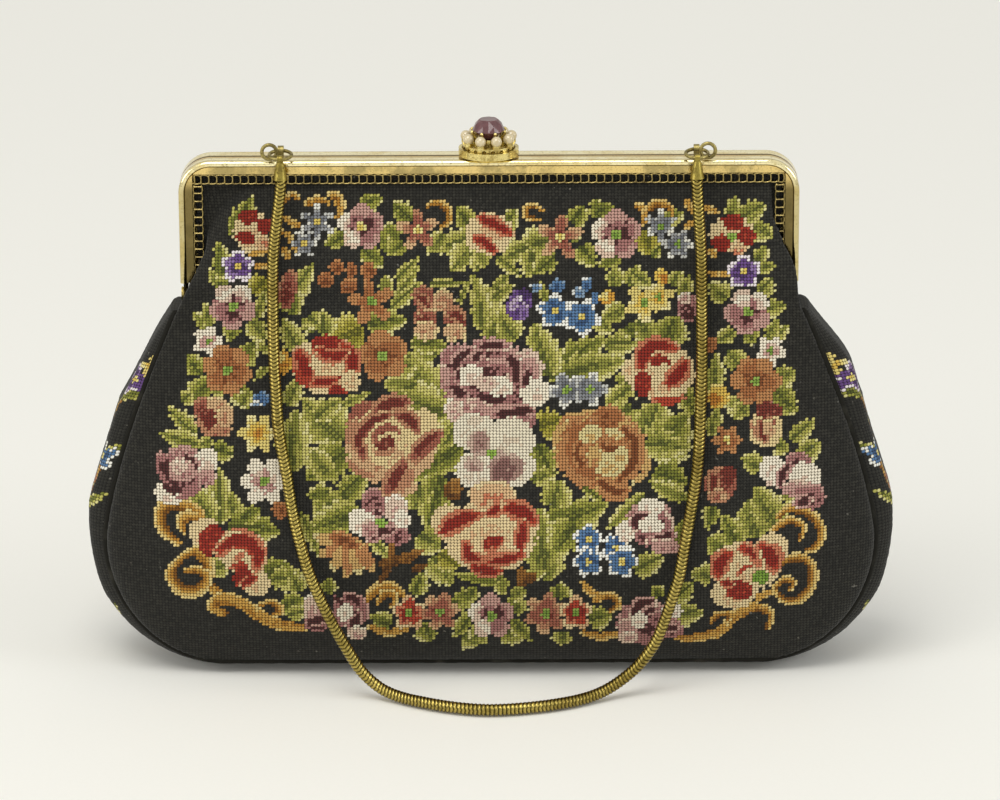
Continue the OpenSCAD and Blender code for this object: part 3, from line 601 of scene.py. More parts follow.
def stitched_cloth(name, points, inside, colours):
    """Mesh of one square for each stitch, a little uneven as handwork is, with the stitch count as
    UV and its thread as colour."""
    rows, cols = inside.shape
    faces = grid_faces(rows, cols)
    whole = (inside[:-1, :-1] & inside[:-1, 1:] & inside[1:, :-1] & inside[1:, 1:]).ravel()
    faces, wool = faces[whole], colours.reshape(-1, 3)[whole]
    used, places = np.unique(faces, return_inverse=True)
    uneven = np.random.default_rng(3).uniform(-0.06, 0.06, (len(used), 3))
    above_table = [-np.inf, -np.inf, 0]
    by_hand = np.maximum(points.reshape(-1, 3)[used] + uneven, above_table)
    piece = lay_mesh(name, by_hand, places.reshape(-1, 4))
    count = np.stack([faces % cols, faces // cols], -1)
    add_uv(piece, count)
    layer = piece.data.color_attributes.new("thread", "FLOAT_COLOR", "CORNER")
    rgba = np.concatenate([np.repeat(wool[:, None], 4, 1), np.ones((len(faces), 4, 1))], -1)
    layer.data.foreach_set("color", rgba.astype(np.float32).ravel())
    return piece


def threads(*colours):
    """Rows of linear colour for a range of threads, dark to light."""
    return np.array([linear(c)[:3] for c in colours])


ground_wool = threads("#272621")[0]
leaf_threads = [threads("#4c521e", "#72762c", "#97963e", "#bab55e", "#d6cf8c"),
                threads("#5a5f26", "#868738", "#aaa64e", "#c8c16e", "#dcd594"),
                threads("#64621e", "#8a842a", "#a89e3c", "#c5ba5c", "#d6cd80")]
mauve_threads = threads("#4c2625", "#a4716c", "#c59a8e", "#e0c6b0", "#efe5cf")
pale_threads = threads("#855f58", "#a98679", "#c6aa98", "#dccbb2", "#e8dec6")
orange_threads = threads("#7a4522", "#a4683c", "#bc8452", "#cea868", "#d9c98e")
dusky_threads = threads("#733024", "#9e5c48", "#ba8462", "#d2ac80", "#e0ca94")
red_threads = threads("#8c2719", "#ad4029", "#c87a58", "#dab486", "#e2cc9c")
gold_threads = threads("#784c10", "#a97628", "#c89a46", "#dabb70", "#e2cb88")
blue_threads = threads("#365278", "#55779f", "#869eb6", "#e0e2de", "#eeede4")
grey_threads = threads("#64666a", "#808286", "#9b9c9c", "#c2c2bc", "#e6e4d8")
eye_threads = threads("#6f8f30", "#82a23c", "#8fae4a", "#9ab858", "#a8c468")
violet_threads = threads("#4a3262", "#674884", "#8a6fa0", "#bca8be", "#e8dfe2")
yellow_threads = threads("#b8782a", "#d09a3c", "#dcba54", "#e4d07c", "#ece0a4")
brown_threads = threads("#4f3010", "#6d4518", "#8a5c24", "#9a6c30", "#a87c40")
green_eye = threads("#749238", "#92ac4e")
yellow_eye = threads("#d8c060", "#e8dc90")

# Drawn flowers on the pattern sheet. A petal is place, two half widths, turn and thread; a
# fold between petals is thread, width and turning points
drawn_flowers = [(mauve_threads, [
    (493, 382, 51, 40, 0, 1), (459, 364, 19, 21, 0, 1), (489, 350, 20, 12, 0, 1), (525, 369, 18, 20, 0, 2),
    (534, 392, 15, 14, 0, 4), (524, 419, 12, 10, 0, 1), (472, 412, 25, 14, 0, 2), (454, 409, 9, 12, 0, 3),
    (444, 377, 5, 14, 0, 2), (0, 6, [(478, 348), (493, 345), (508, 347)]),
    (0, 7, [(452, 372), (459, 358), (472, 350)]), (0, 6, [(473, 362), (478, 355), (485, 351)]),
    (2, 7, [(489, 360), (499, 362), (506, 369)]), (0, 8, [(506, 353), (515, 366), (517, 388)]),
    (0, 5, [(524, 386), (528, 376), (530, 369)]), (3, 4, [(521, 358), (534, 356), (541, 367), (540, 379)]),
    (0, 8, [(453, 383), (458, 392), (466, 396)]), (472, 376, 14, 11, 10, 4), (499, 386, 14, 10, 10, 4),
    (485, 382, 12, 9, 0, 3), (499, 368, 12, 6, 0, 1), (490, 372, 7, 4, 0, 0),
    (0, 5, [(476, 395), (493, 401), (511, 398)]), (2, 6, [(472, 407), (489, 409), (511, 407)]),
    (0, 8, [(497, 415), (511, 413), (533, 410)]), (1, 7, [(499, 422), (514, 423), (529, 418)]),
    (183, 470, 25, 24, 0, 1), (206, 462, 12, 14, 0, 4), (207, 477, 9, 10, 0, 2), (168, 494, 14, 10, 20, 4),
    (161, 464, 5, 13, 0, 1), (0, 7, [(182, 457), (192, 462), (194, 474)]), (182, 470, 13, 12, 0, 2),
    (179, 467, 8, 7, 0, 3), (0, 5, [(166, 459), (166, 470), (169, 480)]), (173, 488, 9, 6, 20, 0),
    (1, 7, [(177, 498), (188, 494), (201, 485)]), (314, 609, 11, 17, 0, 3), (316, 623, 12, 9, 0, 1),
    (0, 6, [(307, 621), (318, 620), (327, 620)]), (351, 611, 18, 18, 0, 1),
    (0, 5, [(343, 598), (355, 599), (359, 605)]), (346, 613, 8, 9, 0, 4),
    (0, 7, [(349, 626), (357, 620), (359, 613)]), (357, 633, 9, 7, 0, 3), (0, 4, [(335, 596), (342, 605)]),
    (2, 3, [(366, 603), (369, 613), (366, 622)]), (375, 501, 13, 13, 0, 1), (396, 509, 12, 16, 0, 3),
    (361, 522, 13, 13, 0, 4), (393, 533, 17, 11, 20, 1), (402, 520, 9, 9, 0, 4),
    (0, 6, [(374, 513), (381, 514)]), (0, 7, [(370, 540), (379, 533), (394, 529)]), (370, 529, 8, 10, 0, 2),
    (773, 470, 14, 14, 0, 4), (798, 461, 13, 9, 0, 1), (804, 477, 17, 15, 0, 4),
    (0, 6, [(780, 486), (783, 473), (791, 465)]), (796, 489, 14, 8, 0, 2), (812, 496, 13, 13, 0, 1),
    (0, 8, [(797, 503), (810, 500)]), (3, 5, [(766, 480), (773, 486)]), (645, 622, 29, 22, 0, 1),
    (628, 629, 11, 11, 0, 2), (0, 7, [(633, 615), (640, 604), (654, 601)]),
    (0, 6, [(645, 613), (656, 608)]), (639, 620, 8, 8, 0, 4), (672, 610, 10, 8, 0, 4),
    (672, 629, 11, 9, 0, 1), (0, 6, [(665, 629), (677, 627)]), (628, 637, 10, 6, 0, 3),
    (0, 5, [(645, 631), (654, 627)]), (651, 523, 24, 23, 0, 1), (651, 507, 13, 9, 0, 4),
    (626, 532, 10, 11, 0, 4), (0, 6, [(635, 528), (636, 519), (646, 514)]), (651, 525, 13, 8, 0, 4),
    (3, 4, [(665, 512), (673, 521), (672, 530)]), (0, 7, [(649, 542), (663, 538), (674, 534)]),
    (665, 546, 15, 8, 0, 2), (688, 307, 10, 15, 0, 1), (688, 312, 6, 8, 0, 0), (685, 298, 6, 6, 0, 3),
]), (pale_threads, [
    (474, 432, 21, 19, 0, 4), (511, 439, 24, 21, 0, 4), (514, 466, 21, 21, 0, 4), (475, 471, 19, 19, 0, 4),
    (479, 443, 11, 13, 0, 2), (481, 440, 7, 10, 0, 1), (474, 464, 11, 8, 20, 2), (506, 468, 18, 15, -20, 1),
    (504, 471, 12, 10, -20, 0), (499, 452, 12, 5, 0, 3), (3, 7, [(464, 422), (484, 419)]),
]), (orange_threads, [
    (600, 449, 47, 41, 0, 2), (608, 417, 15, 12, 0, 1), (574, 427, 17, 15, 0, 2), (613, 489, 17, 12, 10, 2),
    (3, 6, [(553, 449), (557, 434), (569, 419)]), (3, 6, [(647, 454), (646, 471), (633, 484)]),
    (1, 11, [(596, 420), (577, 434), (574, 457), (586, 471), (606, 479)]),
    (0, 6, [(579, 442), (577, 457), (586, 469)]), (0, 8, [(623, 427), (635, 444), (631, 466), (618, 481)]),
    (0, 7, [(599, 481), (613, 490), (626, 491)]), (590, 434, 11, 9, -30, 4), (615, 433, 10, 5, 20, 4),
    (0, 6, [(600, 445), (608, 449), (620, 448)]), (608, 465, 15, 12, 0, 4), (621, 457, 8, 10, 0, 4),
    (594, 457, 7, 12, 0, 3), (348, 547, 24, 13, 25, 1), (3, 13, [(352, 546), (317, 537)]),
    (2, 13, [(352, 548), (323, 553)]), (3, 13, [(350, 545), (333, 567)]), (2, 13, [(352, 545), (346, 575)]),
    (3, 13, [(354, 545), (359, 572)]), (2, 13, [(358, 545), (372, 569)]), (344, 541, 16, 6, 25, 1),
    (0, 3, [(338, 546), (342, 539), (352, 538)]), (326, 280, 9, 8, 0, 1), (336, 267, 7, 7, 0, 1),
    (351, 269, 5, 8, 0, 1), (369, 271, 7, 9, 0, 1), (349, 286, 9, 7, -25, 1), (280, 510, 8, 9, 0, 1),
    (710, 345, 8, 8, 0, 1),
]), (dusky_threads, [
    (391, 444, 45, 41, 0, 3), (419, 427, 20, 17, -30, 4), (400, 484, 17, 11, 20, 3),
    (1, 11, [(350, 424), (361, 409), (375, 404)]), (0, 10, [(376, 410), (392, 403), (407, 402)]),
    (2, 8, [(347, 449), (350, 432), (357, 419)]), (0, 8, [(363, 457), (359, 439), (370, 423), (390, 414)]),
    (392, 444, 26, 24, 0, 4), (0, 9, [(398, 415), (409, 419), (417, 429)]),
    (1, 7, [(375, 443), (377, 433), (388, 427), (400, 432)]), (386, 443, 10, 6, -20, 0),
    (2, 5, [(372, 449), (382, 454), (397, 449)]), (0, 9, [(413, 457), (426, 443), (439, 433)]),
    (1, 6, [(419, 459), (432, 447), (443, 434)]), (0, 12, [(387, 490), (396, 479), (404, 464)]),
    (2, 10, [(400, 490), (407, 479), (412, 466)]), (2, 6, [(347, 459), (357, 471), (377, 476)]),
    (423, 297, 11, 11, 0, 1), (0, 7, [(417, 295), (424, 301), (429, 307)]), (424, 318, 12, 10, 0, 1),
    (0, 6, [(419, 316), (419, 325)]), (3, 4, [(424, 310), (434, 309)]), (426, 330, 12, 9, 0, 3),
    (4, 3, [(417, 332), (419, 340)]), (4, 3, [(426, 335), (427, 343)]), (4, 3, [(434, 332), (436, 340)]),
    (444, 301, 11, 12, 0, 3), (2, 5, [(439, 297), (449, 302), (452, 310)]), (455, 318, 12, 12, 0, 1),
    (0, 7, [(449, 312), (459, 317), (464, 325)]), (455, 332, 12, 9, 0, 3), (4, 3, [(447, 335), (448, 343)]),
    (4, 3, [(455, 337), (456, 344)]), (4, 3, [(464, 335), (465, 342)]), (214, 417, 18, 20, 0, 2),
    (205, 407, 12, 11, 0, 1), (212, 420, 9, 12, -30, 0), (225, 416, 9, 13, 0, 3), (216, 403, 9, 7, 0, 3),
    (220, 431, 12, 6, -10, 2), (766, 429, 17, 18, 0, 4), (769, 410, 13, 8, 0, 0),
    (0, 6, [(760, 422), (762, 434), (766, 441)]), (1, 6, [(769, 418), (775, 424)]), (769, 429, 6, 9, 0, 3),
    (2, 4, [(752, 422), (755, 436)]), (720, 484, 16, 17, 0, 1),
    (0, 6, [(713, 475), (713, 486), (711, 493)]), (729, 475, 8, 9, 0, 0), (718, 496, 11, 7, 0, 2),
    (3, 4, [(720, 500), (727, 493)]), (288, 289, 9, 20, 10, 1), (286, 292, 5, 11, 10, 0),
]), (red_threads, [
    (490, 536, 46, 37, 0, 4), (492, 495, 24, 14, 0, 3), (449, 521, 19, 16, -20, 4),
    (521, 521, 16, 15, 20, 4), (0, 11, [(442, 532), (459, 520), (477, 514)]),
    (0, 7, [(488, 514), (499, 509), (511, 506)]), (0, 12, [(506, 508), (520, 511), (534, 521)]),
    (0, 8, [(524, 524), (522, 536), (520, 549)]), (0, 8, [(465, 544), (470, 557), (484, 564)]),
    (2, 6, [(484, 555), (499, 556), (511, 550)]), (0, 7, [(489, 564), (504, 560), (523, 554)]),
    (0, 8, [(472, 567), (487, 571), (500, 571)]), (2, 4, [(472, 551), (484, 557), (497, 556)]),
    (494, 542, 10, 6, -20, 0), (2, 3, [(483, 549), (497, 548), (506, 540)]), (327, 366, 34, 28, 0, 4),
    (326, 344, 15, 9, 0, 0), (0, 11, [(299, 353), (305, 366), (310, 379)]),
    (1, 8, [(296, 368), (301, 379), (313, 385)]), (0, 9, [(343, 345), (353, 358), (351, 374), (347, 381)]),
    (327, 364, 16, 13, 0, 4), (0, 8, [(317, 350), (332, 357), (347, 352)]),
    (2, 4, [(315, 353), (326, 360), (338, 361)]), (338, 386, 11, 9, 0, 0),
    (0, 6, [(313, 383), (326, 381), (338, 381)]), (351, 381, 9, 11, 0, 4), (661, 372, 34, 28, 0, 4),
    (0, 11, [(640, 366), (646, 351), (659, 346), (674, 348)]), (643, 384, 9, 12, 0, 0),
    (661, 362, 9, 8, 0, 0), (3, 3, [(652, 354), (661, 353), (669, 357)]), (664, 381, 12, 17, 0, 4),
    (0, 11, [(669, 383), (680, 372), (686, 362)]), (4, 4, [(682, 353), (692, 360)]),
    (1, 7, [(653, 399), (667, 402), (684, 397)]), (4, 4, [(674, 390), (686, 387)]), (629, 370, 6, 11, 0, 4),
    (205, 533, 16, 15, 0, 4), (242, 551, 26, 22, 20, 4), (256, 583, 13, 14, 0, 4),
    (212, 540, 12, 16, 20, 0), (0, 11, [(220, 551), (233, 540), (248, 542), (259, 555), (258, 566)]),
    (4, 3, [(219, 542), (231, 533), (244, 534)]), (238, 561, 12, 12, 0, 4),
    (2, 5, [(233, 561), (238, 557), (244, 555)]), (1, 5, [(231, 568), (242, 564), (248, 568)]),
    (244, 578, 11, 10, 0, 0), (0, 6, [(242, 585), (255, 577)]), (746, 567, 34, 25, 0, 4),
    (773, 548, 15, 15, 0, 4), (732, 594, 21, 14, 10, 4), (0, 11, [(718, 574), (721, 562), (729, 554)]),
    (0, 9, [(743, 548), (754, 553), (759, 562)]), (0, 14, [(762, 548), (771, 558), (775, 567)]),
    (4, 3, [(760, 551), (764, 565)]), (741, 567, 11, 11, 0, 4),
    (1, 5, [(738, 574), (746, 567), (752, 566)]), (739, 590, 13, 10, 0, 0),
    (0, 6, [(723, 583), (732, 585)]), (251, 231, 18, 21, 0, 4), (249, 217, 10, 7, 0, 0),
    (264, 226, 7, 8, 0, 0), (246, 238, 10, 6, 20, 0), (263, 242, 7, 8, 0, 3), (732, 234, 23, 18, 0, 4),
    (733, 222, 11, 8, 0, 0), (747, 236, 8, 9, 0, 0), (722, 243, 10, 8, 0, 0), (738, 249, 8, 6, 0, 3),
    (489, 234, 23, 21, 0, 4), (0, 8, [(480, 218), (494, 224), (510, 234)]),
    (0, 7, [(476, 238), (486, 243), (494, 251)]), (3, 5, [(480, 228), (492, 234), (502, 243)]),
]), (violet_threads, [
    (519, 304, 12, 16, 15, 1), (524, 298, 6, 10, 15, 0), (515, 303, 4, 9, 30, 3), (523, 311, 5, 8, 0, 2),
]), (blue_threads, [
    (261, 399, 8, 7, -30, 1), (257, 404, 6, 3, 0, 3), (536, 287, 5, 4, 0, 2), (557, 286, 7, 7, 0, 1),
    (587, 284, 5, 7, 0, 1), (579, 293, 6, 6, 0, 2), (596, 298, 5, 6, 0, 1), (584, 278, 3, 2, 0, 3),
    (532, 285, 3, 2, 0, 3),
]), (yellow_threads, [
    (607, 297, 8, 7, 0, 1), (604, 296, 4, 5, 0, 3), (661, 276, 6, 9, 0, 2), (664, 280, 3, 5, 0, 0),
    (718, 396, 11, 13, 0, 2), (714, 400, 5, 7, 0, 0), (282, 362, 9, 12, 0, 1), (279, 357, 5, 7, 0, 3),
]), (brown_threads, [
    (398, 560, 20, 5, -10, 1), (386, 570, 4, 14, 20, 1), (410, 556, 14, 4, -25, 2), (392, 552, 4, 9, 0, 2),
    (453, 491, 9, 9, 45, 1), (456, 486, 5, 8, 0, 3), (527, 579, 11, 5, -25, 1), (521, 576, 4, 8, 10, 2),
    (419, 568, 8, 3, -20, 1),
]), (eye_threads, [
    (492, 453, 5, 4, 0, 2), (381, 523, 5, 5, 0, 2), (761, 577, 9, 6, 0, 0), (732, 237, 4, 4, 0, 2),
])]

# Whole flowers: place, reach, number of petals, turn, how pointed, threads of the petals by turns,
# and threads of the eye
pansy = [mauve_threads[[0, 1, 2, 2]], mauve_threads[[0, 0, 1, 2]], mauve_threads[[0, 1, 1, 2]],
         mauve_threads[[2, 3, 4, 3]], mauve_threads[[0, 1, 3, 4]]]
rust = [dusky_threads[[0, 1, 1, 2]], dusky_threads[[1, 1, 2, 3]]]
orange = [orange_threads[[0, 1, 1, 2]], orange_threads[[0, 1, 2, 2]]]
grey = [grey_threads[[1, 0, 1, 3]], grey_threads[[1, 1, 2, 4]]]
blue = [blue_threads[[0, 0, 1, 4]], blue_threads[[0, 1, 1, 4]]]
violet = [violet_threads[[0, 1, 1, 4]], violet_threads[[0, 0, 2, 4]]]
yellow = [yellow_threads[[0, 2, 3, 4]], yellow_threads[[1, 2, 3, 3]]]
white = [mauve_threads[[1, 3, 4, 4]], mauve_threads[[2, 2, 4, 4]]]
red_star = [red_threads[[0, 1, 1, 3]], red_threads[[0, 0, 2, 4]]]
whole_flowers = [
    (317, 222, 19, 6, 90, 1.0, grey, yellow_eye), (304, 244, 15, 6, 60, 1.0, grey, yellow_eye),
    (661, 226, 17, 6, 90, 0.8, grey, green_eye), (678, 244, 17, 6, 60, 0.8, grey, green_eye),
    (567, 390, 19, 5, 30, 0.5, grey, green_eye), (590, 389, 18, 5, 0, 0.5, grey, green_eye),
    (361, 227, 24, 5, -90, 0.15, pansy, yellow_eye), (616, 235, 26, 5, -90, 0.15, pansy, green_eye),
    (418, 230, 22, 5, -95, 1.0, rust, yellow_eye), (560, 237, 24, 5, -85, 1.0, rust, yellow_eye),
    (238, 266, 17, 5, -90, 0.3, violet, yellow_eye), (744, 272, 18, 5, -90, 0.3, violet, yellow_eye),
    (233, 306, 24, 5, 20, 0.15, pansy, green_eye), (748, 312, 24, 5, 30, 0.15, pansy, green_eye),
    (208, 341, 16, 5, -70, 0.5, white, green_eye), (771, 351, 16, 5, -60, 0.5, white, green_eye),
    (227, 370, 26, 6, 15, 0.15, orange, green_eye), (756, 381, 26, 6, 0, 0.15, orange, green_eye),
    (371, 302, 24, 5, -100, 1.0, orange, green_eye), (383, 356, 26, 5, -30, 0.15, orange, green_eye),
    (555, 311, 19, 5, -90, 0.4, blue, yellow_eye), (582, 317, 20, 5, -60, 0.4, blue, yellow_eye),
    (588, 540, 16, 5, -90, 0.4, blue, yellow_eye), (617, 548, 17, 5, -60, 0.4, blue, yellow_eye),
    (588, 562, 16, 5, -30, 0.4, blue, yellow_eye), (622, 562, 17, 5, -80, 0.4, blue, yellow_eye),
    (644, 303, 20, 5, -60, 0.6, yellow, green_eye), (659, 297, 16, 5, -90, 0.6, yellow, green_eye),
    (258, 433, 21, 6, 0, 0.6, yellow, yellow_threads[:2]), (727, 440, 16, 6, 0, 0.8, orange, yellow_eye),
    (264, 481, 25, 6, 0, 0.4, white, green_eye), (381, 522, 5, 4, 40, 0.2, [green_eye], green_eye),
    (409, 613, 18, 5, -90, 0.5, red_star, green_eye), (440, 612, 20, 6, -70, 0.5, rust, green_eye),
    (491, 616, 23, 5, -90, 0.15, pansy, green_eye), (546, 614, 22, 6, -80, 0.5, rust, green_eye),
    (576, 613, 18, 5, -90, 0.5, red_star, green_eye), (492, 453, 5, 4, 45, 0.2, [green_eye], green_eye),
    (487, 235, 5, 4, 0, 0.2, [yellow_eye], yellow_eye), (732, 237, 5, 4, 0, 0.2, [green_eye], green_eye)]

# Gold scrolls of the border: width of the stroke and its turning points
scrolls = [
    (6, [(283, 201), (292, 195), (300, 200)]), (7, [(306, 204), (318, 199), (330, 203)]),
    (9, [(330, 195), (339, 198), (340, 210), (338, 217)]), (7, [(428, 206), (437, 202), (447, 208),
     (449, 220), (441, 228)]), (7, [(283, 217), (292, 222), (300, 227)]), (7, [(283, 248), (289, 258)]),
    (6, [(540, 220), (527, 217), (526, 209), (534, 206), (543, 211)]),
    (7, [(635, 205), (643, 209), (644, 224)]), (8, [(644, 213), (655, 203), (668, 205), (673, 214)]),
    (7, [(686, 200), (693, 212)]), (7, [(704, 207), (718, 212)]), (7, [(686, 226), (696, 222)]),
    (6, [(250, 254), (268, 252)]), (6, [(256, 266), (268, 265)]), (7, [(709, 273), (728, 275)]),
    (7, [(710, 250), (716, 256)]),
    (12, [(202, 513), (183, 504), (167, 504), (160, 515), (163, 530), (178, 543)]),
    (10, [(203, 517), (187, 516), (181, 522), (184, 532)]),
    (11, [(218, 592), (208, 584), (209, 568), (204, 556), (194, 551), (182, 557)]),
    (11, [(179, 561), (170, 572), (177, 587), (192, 592), (205, 585), (206, 575), (197, 570), (187, 571)]),
    (11, [(224, 613), (212, 608), (215, 600), (228, 599), (243, 604), (258, 614), (276, 624), (305, 628)]),
    (6, [(260, 605), (272, 602), (282, 611), (270, 616)]),
    (9, [(778, 516), (788, 509), (806, 511), (819, 523), (821, 537), (815, 548), (807, 551)]),
    (7, [(773, 530), (788, 520), (803, 526), (801, 539)]),
    (9, [(775, 569), (789, 558), (806, 559), (813, 572), (810, 589), (797, 601), (782, 599), (774, 587)]),
    (6, [(774, 587), (784, 579), (794, 582), (790, 590)]), (7, [(756, 598), (772, 592)]),
    (9, [(768, 627), (771, 614), (756, 607), (735, 616), (720, 631), (700, 637), (676, 638)]),
    (6, [(710, 622), (718, 614), (730, 615), (726, 624)]),
    (9, [(366, 602), (374, 590), (390, 585), (405, 596)]), (7, [(370, 627), (388, 633), (408, 629)]),
    (8, [(583, 583), (592, 593), (600, 600)]), (8, [(594, 599), (610, 595), (619, 604), (611, 611)]),
    (7, [(583, 632), (600, 637), (622, 633)]), (6, [(283, 231), (291, 239), (296, 251)]),
    (7, [(378, 604), (384, 593), (395, 596), (392, 606)])]

